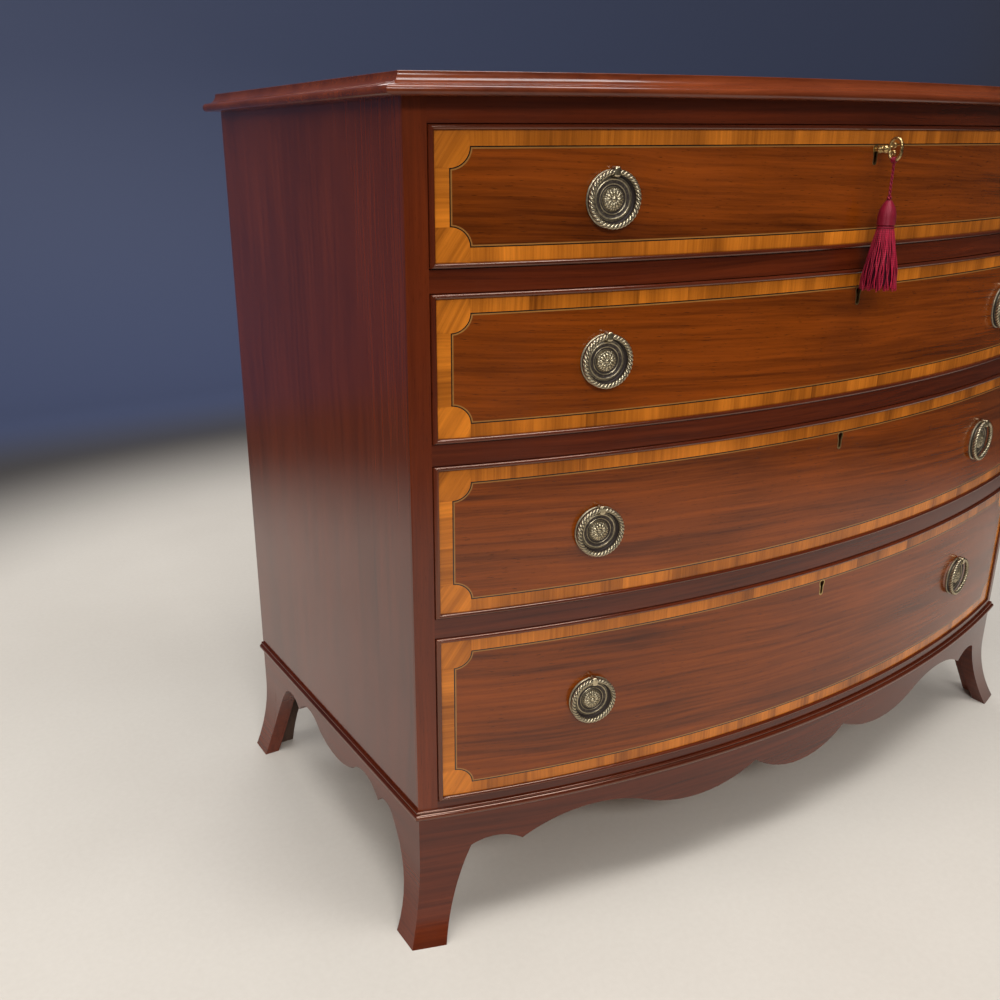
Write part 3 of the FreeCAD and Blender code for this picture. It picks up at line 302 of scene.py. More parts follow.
class Nodes:
    """Adds nodes to a tree: a node's inputs are given as values or as the sockets that feed them."""

    def __init__(self, tree):
        self.tree = tree

    def add(self, kind, inputs=None, **settings):
        node = self.tree.nodes.new(kind)
        for key, value in settings.items():
            setattr(node, key, value)
        for key, value in (inputs or {}).items():
            if isinstance(value, bpy.types.NodeSocket):
                self.tree.links.new(value, node.inputs[key])
            else:
                node.inputs[key].default_value = value
        return node

    def maths(self, operation, a, b=0.0, clamp=False):
        return self.add("ShaderNodeMath", {0: a, 1: b}, operation=operation, use_clamp=clamp).outputs[0]

    def plus(self, *values, clamp=False):
        """The sum of two or three values."""
        total = values[0]
        for value in values[1:]:
            total = self.maths("ADD", total, value, clamp and value is values[-1])
        return total

    def times(self, a, b, clamp=False):
        return self.maths("MULTIPLY", a, b, clamp)

    def uneven(self, noise, strength):
        """A noise about zero."""
        return self.times(self.maths("SUBTRACT", noise, 0.5), strength)

    def mix(self, factor, a, b, blend="MIX"):
        inputs = {0: factor, 6: a, 7: b}
        return self.add("ShaderNodeMix", inputs, data_type="RGBA", blend_type=blend).outputs[2]

    def split(self, vector):
        return self.add("ShaderNodeSeparateXYZ", {0: vector}).outputs

    def joined(self, parts):
        return self.add("ShaderNodeCombineXYZ", dict(enumerate(parts))).outputs[0]

    def stretched(self, vector, scale, move=(0.0, 0.0, 0.0)):
        return self.add("ShaderNodeMapping", {"Vector": vector, "Scale": scale, "Location": move}).outputs[0]

    def noise(self, vector, scale=1.0, detail=4.0, rough=0.5):
        inputs = {"Vector": vector, "Scale": scale, "Detail": detail, "Roughness": rough}
        return self.add("ShaderNodeTexNoise", inputs).outputs["Fac"]

    def range(self, value, low, high, to_low=0.0, to_high=1.0, smooth=False):
        inputs = {"Value": value, 1: low, 2: high, 3: to_low, 4: to_high}
        kind = "SMOOTHSTEP" if smooth else "LINEAR"
        return self.add("ShaderNodeMapRange", inputs, interpolation_type=kind).outputs[0]


def rgba(colour, strength=1.0):
    """A colour made stronger or weaker, with its alpha."""
    return (*(part * strength for part in colour), 1.0)


def new_effect(name, inputs, outputs):
    """A shader group whose inputs have these defaults, or are vectors where they have none."""
    group = bpy.data.node_groups.new(name, "ShaderNodeTree")
    kinds = {type(None): "Vector", tuple: "Color", float: "Float"}
    for key, value in inputs.items():
        kind = f"NodeSocket{kinds[type(value)]}"
        made = group.interface.new_socket(name=key, in_out="INPUT", socket_type=kind)
        if value is not None:
            made.default_value = value
    for key, kind in outputs.items():
        group.interface.new_socket(name=key, in_out="OUTPUT", socket_type=f"NodeSocket{kind}")
    n = Nodes(group)
    return group, n, n.add("NodeGroupInput").outputs


GRAIN_USUAL = {"Stripe": 0.5, "Streak": 0.5, "Cloud": 0.3, "Pore": 0.5, "Slant": 0.0, "Fineness": 1.0}


def grain_group():
    """Timber whose fibres run along X: wavy streaks, broad stripes, slow clouds and short dark pores."""
    colours = {"Light": (0.4, 0.2, 0.1, 1.0), "Dark": (0.1, 0.04, 0.02, 1.0)}
    outputs = {"Color": "Color", "Height": "Float", "Tone": "Float"}
    group, n, given = new_effect("timber grain", {"Vector": None, **colours, **GRAIN_USUAL}, outputs)
    split = n.split(given["Vector"])
    across = n.plus(split[1], n.times(split[0], given["Slant"]))
    wave = n.noise(n.stretched(given["Vector"], (3.0, 5.0, 5.0)), detail=2.0)
    across = n.plus(across, n.uneven(wave, 0.022))
    fine = n.times(across, given["Fineness"])
    deep = n.times(split[2], given["Fineness"])
    fibre = n.joined((split[0], fine, deep))
    stripe = n.noise(n.stretched(fibre, (1.1, 26.0, 26.0)), detail=3.0, rough=0.55)
    streak = n.noise(n.stretched(fibre, (6.0, 190.0, 190.0), (4.0, 0.0, 0.0)), detail=5.0, rough=0.62)
    cloud = n.noise(n.stretched(fibre, (4.5, 9.0, 9.0), (9.0, 2.0, 0.0)), detail=3.0)
    dashes = n.noise(n.stretched(fibre, (75.0, 1500.0, 1500.0)), detail=2.0)
    pore = n.range(dashes, 0.36, 0.27)
    tone = n.times(n.range(stripe, 0.33, 0.67), given["Stripe"])
    tone = n.plus(tone, n.times(n.range(streak, 0.3, 0.7), given["Streak"]))
    tone = n.plus(tone, n.times(n.range(cloud, 0.3, 0.7), given["Cloud"]))
    total = n.plus(given["Stripe"], given["Streak"], given["Cloud"])
    tone = n.maths("DIVIDE", tone, n.maths("MAXIMUM", total, 0.01), clamp=True)
    colour = n.mix(tone, given["Dark"], given["Light"])
    pores = n.times(pore, given["Pore"])
    colour = n.mix(pores, colour, n.mix(0.75, given["Dark"], rgba((0.0, 0.0, 0.0))))
    height = n.maths("SUBTRACT", n.times(streak, 0.25), pores)
    n.add("NodeGroupOutput", {"Color": colour, "Height": height, "Tone": tone})
    return group


def handling_group():
    """Polish that long use has clouded: slow patches of a softer gloss, with fine rubbing marks."""
    inputs = {"Vector": None, "Low": 0.1, "High": 0.2}
    group, n, given = new_effect("handling marks", inputs, {"Roughness": "Float"})
    patches = n.noise(given["Vector"], 7.0, 5.0, 0.6)
    rubs = n.noise(n.stretched(given["Vector"], (40.0, 90.0, 60.0)), detail=3.0)
    mask = n.plus(n.times(patches, 0.75), n.times(rubs, 0.25))
    n.add("NodeGroupOutput", {"Roughness": n.range(mask, 0.35, 0.65, given["Low"], given["High"])})
    return group


def hollow_dirt_and_shade_group():
    """Dust and dark polish that settle in hollows, and painted shade where parts meet and between strands: ambient
    occlusion made stronger by a little noise.
    """
    inputs = {"Vector": None, "Distance": 0.004, "Amount": 1.0}
    group, n, given = new_effect("settled dirt", inputs, {"Mask": "Float"})
    inputs = {"Distance": given["Distance"]}
    open_share = n.add("ShaderNodeAmbientOcclusion", inputs, samples=8).outputs["AO"]
    speckle = n.noise(given["Vector"], 260.0, 3.0)
    hidden = n.range(n.plus(open_share, n.uneven(speckle, 0.3)), 0.95, 0.4)
    n.add("NodeGroupOutput", {"Mask": n.times(hidden, given["Amount"], clamp=True)})
    return group


class Material:
    """A material whose one Principled shader is fed by the effect groups."""

    def __init__(self, name, **uniform):
        self.made = bpy.data.materials.new(name)
        self.made.use_nodes = True
        self.n = Nodes(self.made.node_tree)
        self.shader = self.made.node_tree.nodes["Principled BSDF"]
        for key, value in uniform.items():
            self.shader.inputs[key.replace("_", " ")].default_value = value

    def feed(self, **sockets):
        for key, value in sockets.items():
            self.made.node_tree.links.new(value, self.shader.inputs[key.replace("_", " ")])

    def object_place(self):
        return self.n.add("ShaderNodeTexCoord").outputs["Object"]

    def layer(self, name, output="Fac"):
        return self.n.add("ShaderNodeAttribute", attribute_name=name).outputs[output]

    def effect(self, name, inputs):
        return self.n.add("ShaderNodeGroup", inputs, node_tree=GROUPS[name]).outputs

    def bump(self, height, distance, strength):
        inputs = {"Height": height, "Distance": distance, "Strength": strength}
        return self.n.add("ShaderNodeBump", inputs).outputs["Normal"]

    def along(self, vector, order):
        """Reorders a vector, so that the axis along the fibres comes first."""
        split = self.n.split(vector)
        return self.n.joined([split[axis] for axis in order])


def timber(
    name,
    light,
    dark,
    order=(0, 1, 2),
    layer=None,
    gloss=(0.13, 0.24),
    coat=0.12,
    specular=0.42,
    shade=None,
    **grain,
):
    """Polished or raw wood; order says which axis runs along the fibres, or layer names the piece's own."""
    m = Material(name, Coat_Weight=coat, Coat_Roughness=0.07, Specular_IOR_Level=specular)
    if specular > 0.5:
        m.shader.inputs["Specular Tint"].default_value = (1.0, 0.72, 0.56, 1.0)
    vector = m.layer(layer, "Vector") if layer else m.along(m.object_place(), order)
    values = {**GRAIN_USUAL, **{key.capitalize(): value for key, value in grain.items()}}
    wood = m.effect("grain", {"Vector": vector, "Light": rgba(light), "Dark": rgba(dark), **values})
    colour = wood["Color"]
    if shade:
        tone = m.layer("shade")
        colour = m.n.mix(tone, colour, m.n.mix(1.0, colour, rgba(shade), "MULTIPLY"))
    rough = m.effect("handling", {"Vector": m.object_place(), "Low": gloss[0], "High": gloss[1]})
    m.feed(Base_Color=colour, Roughness=rough["Roughness"])
    m.feed(Normal=m.bump(wood["Height"], 0.00004 if coat else 0.0002, 0.5))
    return m.made


def brass(name, bright, dark, amount, layer=None):
    """Brass with dark lacquer left in its hollows and rubbed bright on its heights, or where a layer says so; the
    hollows' mask also paints shade where its parts meet.
    """
    m = Material(name)
    n, place = m.n, m.object_place()
    # Ambient occlusion: the dark lacquer in the hollows, and painted shade where parts meet.
    dirt = m.effect("dirt", {"Vector": place, "Distance": 0.0022, "Amount": amount})["Mask"]
    mottle = n.noise(place, 420.0, 4.0, 0.6)
    if layer:
        uneven = n.plus(m.layer(layer), n.uneven(mottle, 0.5))
        dirt = n.maths("MAXIMUM", dirt, n.range(uneven, 0.75, 0.2))
    colour = n.mix(n.range(mottle, 0.35, 0.65), rgba(bright, 0.75), rgba(bright))
    colour = n.mix(dirt, colour, rgba(dark))
    m.feed(
        Base_Color=colour,
        Metallic=n.range(dirt, 0.0, 1.0, 1.0, 0.3),
        Roughness=n.range(n.plus(dirt, n.times(mottle, 0.35)), 0.0, 1.2, 0.24, 0.55),
    )
    m.feed(Normal=m.bump(n.noise(place, 900.0, 3.0), 0.00006, 0.5))
    return m.made


def silk(name, bright, dark):
    """Glossy spun thread, with painted shade between the strands and in the grooves of its twist."""
    m = Material(name, Specular_Tint=(1.0, 0.42, 0.48, 1.0), Roughness=0.36)
    n, place = m.n, m.object_place()
    tone = m.layer("shade")
    # Painted shade between the strands: ambient occlusion mixed towards the dark colour.
    depth = m.effect("dirt", {"Vector": place, "Distance": 0.004, "Amount": 0.8})["Mask"]
    colour = n.mix(tone, rgba(bright), rgba(bright, 2.3))
    ply = n.maths("PINGPONG", m.layer("lay"), 0.5)
    # Painted shade in the grooves of the twist.
    painted_groove_shade = n.range(ply, 0.2, 0.0)
    colour = n.mix(n.times(painted_groove_shade, 0.6), colour, rgba(dark))
    m.feed(Base_Color=n.mix(depth, colour, rgba(dark)))
    m.feed(Normal=m.bump(ply, 0.0003, 0.6))
    return m.made


def sizes():
    """The sizes that the user has set."""
    return bpy.context.scene.chest_sizes


def colours_of(*names):
    """The colours that the user has set."""
    return [tuple(getattr(bpy.context.scene.chest_colours, name)) for name in names]


def make_looks():
    """Builds the effect groups and the materials of every finish on the chest."""
    GROUPS.update(grain=grain_group(), handling=handling_group(), dirt=hollow_dirt_and_shade_group())
    red, red_shade, rail = colours_of("mahogany", "mahogany_shade", "rails")
    own = {"layer": "grain"}
    figure = {"stripe": 0.45, "streak": 0.65, "slant": 0.05, "pore": 0.85}
    cross = {"cloud": 0.7, "fineness": 1.8, "shade": (0.34, 0.27, 0.22)}
    raw = {"gloss": (0.55, 0.75), "coat": 0.0, "pore": 0.6}
    oak = (0.42, 0.25, 0.12), (0.2, 0.1, 0.045)
    woods = {
        "side": ("side mahogany", red, red_shade, (2, 1, 0), dict(stripe=0.25, streak=0.65, coat=0.35)),
        "rail": ("rail mahogany", rail, (0.03, 0.0042, 0.0015), dict(own, stripe=0.4, streak=0.6, cloud=0.1)),
        "inner rail": ("inner mahogany", rail, (0.032, 0.0046, 0.0016), dict(coat=0.0, gloss=(0.4, 0.6))),
        "stile": ("stile mahogany", (0.17, 0.028, 0.005), red_shade, (2, 0, 1), dict(stripe=0.6, streak=0.6)),
        "top": ("top mahogany", (0.2, 0.04, 0.01), red_shade, {}),
        "apron side": ("side apron mahogany", red, red_shade, (1, 2, 0), dict(streak=0.6)),
        "bead": (
            "bead mahogany",
            (0.12, 0.019, 0.005),
            (0.03, 0.004, 0.0015),
            dict(own, stripe=0.3, gloss=(0.14, 0.22), specular=1.0),
        ),
        "panel": ("figured mahogany", *colours_of("field", "field_shade"), {**own, **figure}),
        "band": ("satinwood crossband", *colours_of("crossband", "crossband_shade"), {**own, **cross}),
        "ebony line": ("dark stringing", (0.02, 0.012, 0.008), (0.006, 0.004, 0.003), dict(pore=0.0)),
        "box line": ("boxwood stringing", (0.34, 0.15, 0.035), (0.22, 0.09, 0.02), dict(pore=0.1)),
        "oak across": ("drawer lining across", *oak, raw),
        "oak along": ("drawer lining along", *oak, (1, 2, 0), raw),
        "pine up": ("back boards", (0.33, 0.19, 0.09), (0.13, 0.065, 0.03), (2, 0, 1), raw),
        "raw dark": ("raw dark wood", (0.1, 0.05, 0.03), (0.03, 0.015, 0.01), (2, 0, 1), raw),
    }
    for look, (*given, values) in woods.items():
        LOOKS[look] = timber(*given, **values)
    LOOKS["brass"] = brass("antique brass", *colours_of("brass", "lacquer"), 0.6, "worn")
    LOOKS["bright brass"] = brass("rubbed brass", (0.66, 0.47, 0.2), (0.16, 0.1, 0.04), 0.45)
    # The silk's last colour is its painted shade, between the strands and in the grooves of the twist.
    LOOKS["silk"] = silk("burgundy silk", *colours_of("silk"), (0.012, 0.0006, 0.0025))
    # Painted shade: the dark silk of the core that fills the gaps in the fringe.
    LOOKS["painted shade core"] = silk("painted shade silk", (0.05, 0.003, 0.01), (0.02, 0.001, 0.004))


# The carcase.


def swept_round(profile, along=97, down=25):
    """A profile of offset and height carried round the left side, the bowed front and the right side."""
    rows = []
    for out, height in profile:
        reach = HALF + out
        side = line((-reach, Y_BACK), (-reach, float(bow(reach, out))), down)
        x = line(-reach, reach, along)
        outline = chain(side, xyz(x, bow(x, out)), side[::-1] * (-1, 1))
        rows.append(xyz(*outline.T, height))
    return np.stack(rows)


def make_top():
    """The top board: its moulded edge, a level field filled from the front edge to the back, and square ends."""
    along, down, out = 97, 25, 0.0177
    nose = arc((out, 0.0), (out, 0.009), 0.0043, 15)
    step = [(0.0152, 0.009), (0.0147, 0.0092)]
    cove = arc(step[-1], (0.0055, 0.018), -0.0022, 11)
    lip = [(0.0055, 0.0195), (0.0052, 0.01985), (0.0045, 0.02)]
    profile = np.concatenate([[(-0.03, 0.0)], nose, step, cove[1:], lip])
    edge = swept_round(profile, along, down) + (0, 0, CARCASS_TOP)
    rows, columns = edge.shape[:2]

    def field(row):
        front = edge[row, down - 1 : down - 1 + along]
        t = line(0, 1, down)[:, None]
        return xyz(front[:, 0], front[:, 1] * (1 - t) + Y_BACK * t, front[0, 2]).reshape(-1, 3)

    start, size = rows * columns, down * along
    ends = []
    for column in (0, columns - 1):
        spots = np.arange(rows) * columns + column
        ends.append(np.stack([np.full(rows - 2, spots[0]), spots[1:-1], spots[2:], spots[2:]], -1))
    back_up = start + (down - 1) * along + np.arange(along)
    back_low = back_up + size
    faces = [
        grid_quads(rows, columns),
        grid_quads(down, along)[:, ::-1] + start,
        grid_quads(down, along) + start + size,
        ends[0][:, ::-1],
        ends[1],
        np.stack([back_up[:-1], back_up[1:], back_low[1:], back_low[:-1]], -1),
    ]
    surface = np.concatenate([edge.reshape(-1, 3), field(-1), field(0)]), np.concatenate(faces)
    made = Shape().add(surface).piece(
        "top_board_moulded", "carcass", "carcass_mahogany", "top", "top_board", sharp=28
    )
    mesh = bmesh.new()
    mesh.from_mesh(made.data)
    bmesh.ops.recalc_face_normals(mesh, faces=mesh.faces)
    mesh.to_mesh(made.data)
    mesh.free()


def make_rail_faces():
    """Polished facings on the bowed front edges of the rails and of the bottom board."""
    x = line(-INNER_HALF, INNER_HALF, 121)
    gap, height = 0.0008, 0.021
    levels = [(PLINTH, PLINTH + 0.015)]
    for low, high in LEVELS.values():
        levels.append((high + gap, high + gap + height))
    shape = Shape()
    for low, high in levels:
        flat = np.array(np.meshgrid(x, line(low, high, 3))).reshape(2, -1).T
        shape.add(inlaid(flat, grid_quads(3, len(x)), 0.001))
    shape.piece("rail_faces", "carcass", "carcass_mahogany", "rail")


def make_stiles():
    """Upright facings on the corners, with the outer arris eased: one outline in plan, drawn upwards."""
    near, down, depth = HALF - 0.0014, 0.0012, -0.004
    front = line(INNER_HALF, near, 5)
    corner = arc((near, float(bow(near))), (HALF, float(bow(HALF)) + down), 0.0005, 7)
    back = [(HALF, bow(HALF) + down), (HALF, bow(HALF, depth)), (INNER_HALF, bow(INNER_HALF, depth))]
    plan = chain(xyz(front, bow(front)), corner, np.array(back))
    sections = xyz(*plan.T, line(PLINTH, CARCASS_TOP, 30)[:, None])
    Shape().add(tube(sections)).mirrored().piece(
        "stile_facings", "carcass", "carcass_mahogany", "stile", "front_stiles", sharp=50
    )


# The base.


def make_base_bead():
    """A half-round bead with a small quirk and a rounded fillet above it, carried round the three sides."""
    inside, foot, top = -0.0012, -0.005, 0.0058
    nose = arc((0.0022, foot), (0.0026, 0.0028), 0.0034, 17)
    quirk = [(0.0021, 0.0030), (0.0022, 0.0033)]
    fillet = arc((0.0031, 0.0036), (0.0008, top), 0.0009, 9)
    profile = np.concatenate([[(inside, foot)], nose, quirk, fillet, [(inside, top)]])
    sections = swept_round(profile, 161, 9).transpose(1, 0, 2) + (0, 0, PLINTH)
    Shape().add(tube(sections)).piece(
        "base_bead", "carcass", "bead_mahogany", "bead", "base_moulding", sharp=40
    )


def flare(z, reach):
    """How far a foot sweeps out at height z: an arc that is upright at the flare's height."""
    radius = (FLARE_HEIGHT**2 + reach**2) / (2 * reach)
    drop = np.clip(FLARE_HEIGHT - z, 0, FLARE_HEIGHT)
    return radius - np.sqrt(radius**2 - drop**2)


def edge_columns(corners, count):
    """Places along a shaped edge, closer together near its corners."""
    t = (1 - np.cos(line(0, np.pi, count))) / 2
    return np.unique(np.concatenate([a + (b - a) * t for a, b in pairwise(corners)]).round(7))


def apron_heights(corners, bulges, where, in_foot):
    """Heights from a shaped lower edge to the plinth line; the edge's arcs drop where the bulge is positive."""
    points = chain(*[arc(a, b, bulge, 33) for (a, b), bulge in zip(pairwise(corners), bulges)])
    low = np.where(in_foot, 0.0, np.interp(where, *points.T))
    t = line(0, 1, 26)[:, None]
    return low * (1 - t) + PLINTH * t


def make_front_apron():
    """The front apron: drop, lobes, arches, ears and feet below, the bow and the feet's flare outwards."""
    foot = FOOT_OUT - FOOT_WIDTH
    half_corners = [(0.08, 0.125), (0.25, 0.121), (0.396, 0.106), (0.454, 0.109), (foot, 0.0)]
    half_bulges = [0.02, -0.017, -0.0085, -0.0005]
    corners = [(-x, z) for x, z in reversed(half_corners)] + half_corners
    bulges = half_bulges[::-1] + [0.027] + half_bulges
    x = edge_columns([-FOOT_OUT, *[x for x, z in corners], FOOT_OUT], 19)
    z = apron_heights(corners, bulges, x, np.abs(x) >= foot)

    def face(depth):
        spread = (HALF - depth + flare(z, FLARE_SIDE) - foot) / (FOOT_OUT - foot)
        beyond = np.clip(np.abs(x) - foot, 0, None) * spread
        across = np.sign(x) * (np.minimum(np.abs(x), foot) + beyond)
        return np.stack([across, bow(across, flare(z, FLARE_FRONT) - depth), z], -1)

    Shape().add(slab(face(0.0), face(APRON))).piece(
        "front_apron_shaped", "carcass", "carcass_mahogany", "rail", "front_apron", sharp=42
    )


def make_side_aprons():
    """The side aprons: ears, humps and a lobe between the splayed front foot and the wider rear foot."""
    floor_corner = float(bow(FOOT_OUT, FLARE_FRONT))
    foot, rear_foot = floor_corner + FOOT_WIDTH, Y_BACK - FOOT_WIDTH
    shoulder, rear_shoulder = Y_CORNER + 0.062, Y_BACK - 0.081
    tip, rear_tip, lobe = shoulder + 0.04, rear_shoulder - 0.047, 0.068
    corners = [
        (foot, 0.0),
        (shoulder, PLINTH - 0.044),
        (tip, PLINTH - 0.042),
        (tip + lobe, PLINTH - 0.037),
        (rear_tip - lobe, PLINTH - 0.037),
        (rear_tip, PLINTH - 0.042),
        (rear_shoulder, PLINTH - 0.038),
        (rear_foot, 0.0),
    ]
    bulges = [-0.007, -0.012, -0.0155, 0.013, -0.0155, -0.01, -0.014]
    y = edge_columns([floor_corner, *[y for y, z in corners], Y_BACK], 15)
    z = apron_heights(corners, bulges, y, (y <= foot) | (y >= rear_foot))

    def face(depth):
        x = HALF - depth + flare(z, FLARE_SIDE)
        corner = bow(x, flare(z, FLARE_FRONT) - depth)
        squeeze = (foot - corner) / (foot - floor_corner)
        return xyz(x, np.where(y < foot, foot - (foot - y) * squeeze, y), z)

    Shape().add(slab(face(0.0), face(APRON))).mirrored().piece(
        "side_aprons_shaped", "carcass", "carcass_mahogany", "apron side", "side_aprons", sharp=42
    )


# The drawer fronts.


def keyhole_outline(axis, wall, count):
    """The outline of a keyhole made larger by wall: a round head, a narrower slot and a round foot."""
    head, foot = 0.0034 + wall, 0.0018 + wall
    shoulder, end = axis - 0.0045 - wall, axis - 0.0125 - wall / 2
    runs = [
        arc((-foot, end), (foot, end), 0.9 * foot, 13),
        line((foot, end), (foot, shoulder), 9),
        line((foot, shoulder), (head, axis), 2),
        arc((head, axis), (-head, axis), 0.95 * head, 17),
        line((-head, axis), (-foot, shoulder), 3),
        line((-foot, shoulder), (-foot, end), 9)[:-1],
    ]
    return evenly(chain(*runs), count)


def panel_mesh(low, high):
    """The field inside the stringing: columns across, rows between its eared edges, and a hole at the lock."""
    inset, string = BEAD_WIDTH + sizes().band_width, sizes().string_width
    half_patch, cells = 0.012, 12
    cx, radius = DRAWER_HALF - inset, sizes().ear_radius + string
    turn = math.asin(string / radius)
    ear = cx - radius * np.cos(line(turn, np.pi / 2 - turn, 9))
    side = np.concatenate([line(half_patch, ear.min(), 56)[:-1], np.sort(ear)])
    x = np.concatenate([-side[::-1], line(-half_patch, half_patch, cells + 1)[1:-1], side])
    away = cx - np.abs(x)
    bite = np.where(away < radius, np.sqrt(np.maximum(radius**2 - away**2, 0)), 0)
    bite = np.maximum(bite, string)
    lock = high - KEY_DROP
    bottom, top, edge = lock - 0.019, high - inset - string - 0.0001, high - inset - string
    below = line(low + inset + string, bottom, 9)
    levels = np.concatenate([below, line(bottom, top, cells + 1)[1:], [edge]])
    share = ((levels - levels[0]) / (levels[-1] - levels[0]))[:, None]
    z = (low + inset + bite) * (1 - share) + (high - inset - bite) * share
    flat = xyz(x, z).reshape(-1, 2)

    columns, first_row = len(x), len(below) - 1
    quads = grid_quads(len(levels), columns)
    first = int(np.argmin(np.abs(x + half_patch)))
    row, column = quads[:, 0] // columns, quads[:, 0] % columns
    in_rows = (row >= first_row) & (row < first_row + cells)
    quads = quads[~(in_rows & (column >= first) & (column < first + cells))]
    index = np.arange(len(flat)).reshape(len(levels), columns)
    block = index[first_row : first_row + cells + 1, first : first + cells + 1]
    rim = np.concatenate([block[0, :-1], block[:-1, -1], block[-1, :0:-1], block[:0:-1, 0]])
    hole = keyhole_outline(lock, 0.0006, len(rim))
    hole[:, 1] = np.minimum(hole[:, 1], top - 0.0002)
    hole = np.roll(hole, -int(np.argmin(np.hypot(*(hole - flat[rim[0]]).T))), 0)
    steps = line(0, 1, 5)[1:, None, None]
    rings = flat[rim] * (1 - steps) + hole * steps
    numbers = np.concatenate([rim[None], len(flat) + np.arange(rings[..., 0].size).reshape(4, -1)])
    patch = numbers.reshape(-1)[grid_quads(5, len(rim), wrap_columns=True)]
    return np.concatenate([flat, rings.reshape(-1, 2)]), np.concatenate([quads, patch])


def joints(start, end, rng, usual=0.056):
    """Joints along a strip, at nearly even steps."""
    count = max(2, round((end - start) / usual))
    cuts = line(start, end, count + 1)
    cuts[1:-1] += rng.uniform(-0.006, 0.006, count - 1)
    return pairwise(cuts)


def one_length(start, end, count):
    """Places along one length of crossband, and how dark each is: the joints at its ends are."""
    places = np.concatenate([[start], line(start + JOINT, end - JOINT, count), [end]])
    dark = np.zeros(len(places))
    dark[[0, -1]] = JOINT_SHADE
    return places, dark


def band_plates(low, high, rng):
    """Crossband laid in short lengths along each edge, with a separate square at each eared corner.

    Each piece is its grid of points, the direction of its fibres, its dark edges and its own depth of tone."""
    width, ear = sizes().band_width, sizes().ear_radius
    inner = BEAD_WIDTH + width
    x0, x1 = DRAWER_HALF - BEAD_WIDTH, DRAWER_HALF - inner
    z0, z1, h0, h1 = low + BEAD_WIDTH, low + inner, high - BEAD_WIDTH, high - inner
    reach = x1 - ear
    depth, rim = np.array([0.0, 0.0013, 0.0055, width]), np.array([1.0, 0.0, 0.0, 0.0])
    pieces = []
    for outer, near in ((z0, z1), (h0, h1)):
        for a, b in joints(-reach, reach, rng):
            x, dark = one_length(a, b, 7)
            grid = np.stack(np.meshgrid(x, outer + np.sign(near - outer) * depth), -1)
            fibre = xyz(grid[..., 1] - outer, grid[..., 0])
            pieces.append((grid, fibre, np.maximum(rim[:, None], dark), 0.55))
    for sign in (-1, 1):
        for a, b in joints(z1 + ear, h1 - ear, rng):
            z, dark = one_length(a, b, 4)
            grid = np.stack(np.meshgrid(sign * (x0 - depth), z), -1)
            pieces.append((grid, grid, np.maximum(rim, dark[:, None]), 0.3))
        for outer, near, up in ((z0, z1, 1), (h0, h1, -1)):
            turn = line(0, np.pi / 2, 15)
            start, corner, end = (reach, outer), (x0, outer), (x0, near + up * ear)
            curve = xyz(x1 - ear * np.cos(turn), near + up * ear * np.sin(turn))
            inner_edge = np.concatenate([[start], curve, [end]])
            half = len(inner_edge) // 2
            outer_edge = chain(line(start, corner, half + 1), line(corner, end, len(inner_edge) - half))
            t = np.array([0.0, 0.06, 0.3, 0.55, 0.8, 1.0])[:, None, None]
            grid = (outer_edge * (1 - t) + inner_edge * t) * (sign, 1)
            x, z = grid[..., 0], grid[..., 1]
            edge = np.zeros(grid.shape[:2])
            edge[:, [0, -1]] = JOINT_SHADE
            edge[0] = 1.0
            pieces.append((grid, xyz(z - outer + 0.5 * x, 0.8 * x - 0.5 * z), edge, 0.0))
    return pieces


def eared_loop(low, high, extra):
    """The eared outline inside the crossband, moved inwards by extra, with the same count of points for each."""
    inset = BEAD_WIDTH + sizes().band_width
    x, z0, z1 = DRAWER_HALF - inset, low + inset, high - inset
    radius = sizes().ear_radius + extra
    turn = math.asin(extra / radius)
    sweep = line(turn, np.pi / 2 - turn, 9)
    step = radius * math.cos(turn)

    def corner(side, up, level):
        return xyz(side * (x - radius * np.cos(sweep)), level + up * radius * np.sin(sweep))

    top = line((x - step, z1 - extra), (step - x, z1 - extra), 121)
    middle = line(0.006, -0.006, 21)
    lifted = high - KEY_DROP + np.sqrt(np.maximum(0.004**2 - middle**2, 0))
    crossing = xyz(middle, np.maximum(z1 - extra, lifted))
    runs = [
        line((step - x, z0 + extra), (x - step, z0 + extra), 121),
        corner(1, 1, z0),
        line((x - extra, z0 + step), (x - extra, z1 - step), 5),
        corner(1, -1, z1)[::-1],
        np.concatenate([top[top[:, 0] > 0.0061], crossing, top[top[:, 0] < -0.0061]]),
        corner(-1, -1, z1),
        line((extra - x, z1 - step), (extra - x, z0 + step), 5),
        corner(-1, 1, z0)[::-1],
    ]
    return np.concatenate([run[:-1] for run in runs])


def make_cockbead(name, low, high):
    """Four half-round beads round a drawer front, each profile line as long as its mitre leaves it."""
    depth, spring = -0.002, 0.0008
    nose = arc((0.0, spring), (BEAD_WIDTH, spring), -0.0022, 13)
    inward, offset = np.concatenate([[(0.0, depth)], nose, [(BEAD_WIDTH, depth)]]).T
    across = DRAWER_HALF - inward
    x = line(-1, 1, 121)[:, None] * across
    t = line(0, 1, 7)[:, None]
    upright = (low + inward) * (1 - t) + (high - inward) * t
    bars = [(xyz(x, bow(x, offset), z), [0, 2, 1]) for z in (low + inward, high - inward)]
    bars += [(xyz(sign * across, bow(across, offset), upright), [2, 0, 1]) for sign in (-1, 1)]
    shape = Shape()
    for sections, order in bars:
        surface = tube(sections)
        shape.add(surface, grain=surface[0][:, order] * (1, 1, 0))
    shape.piece(f"{name}_beads", name, "bead_mahogany", "bead", f"{name}_cockbead", sharp=50)


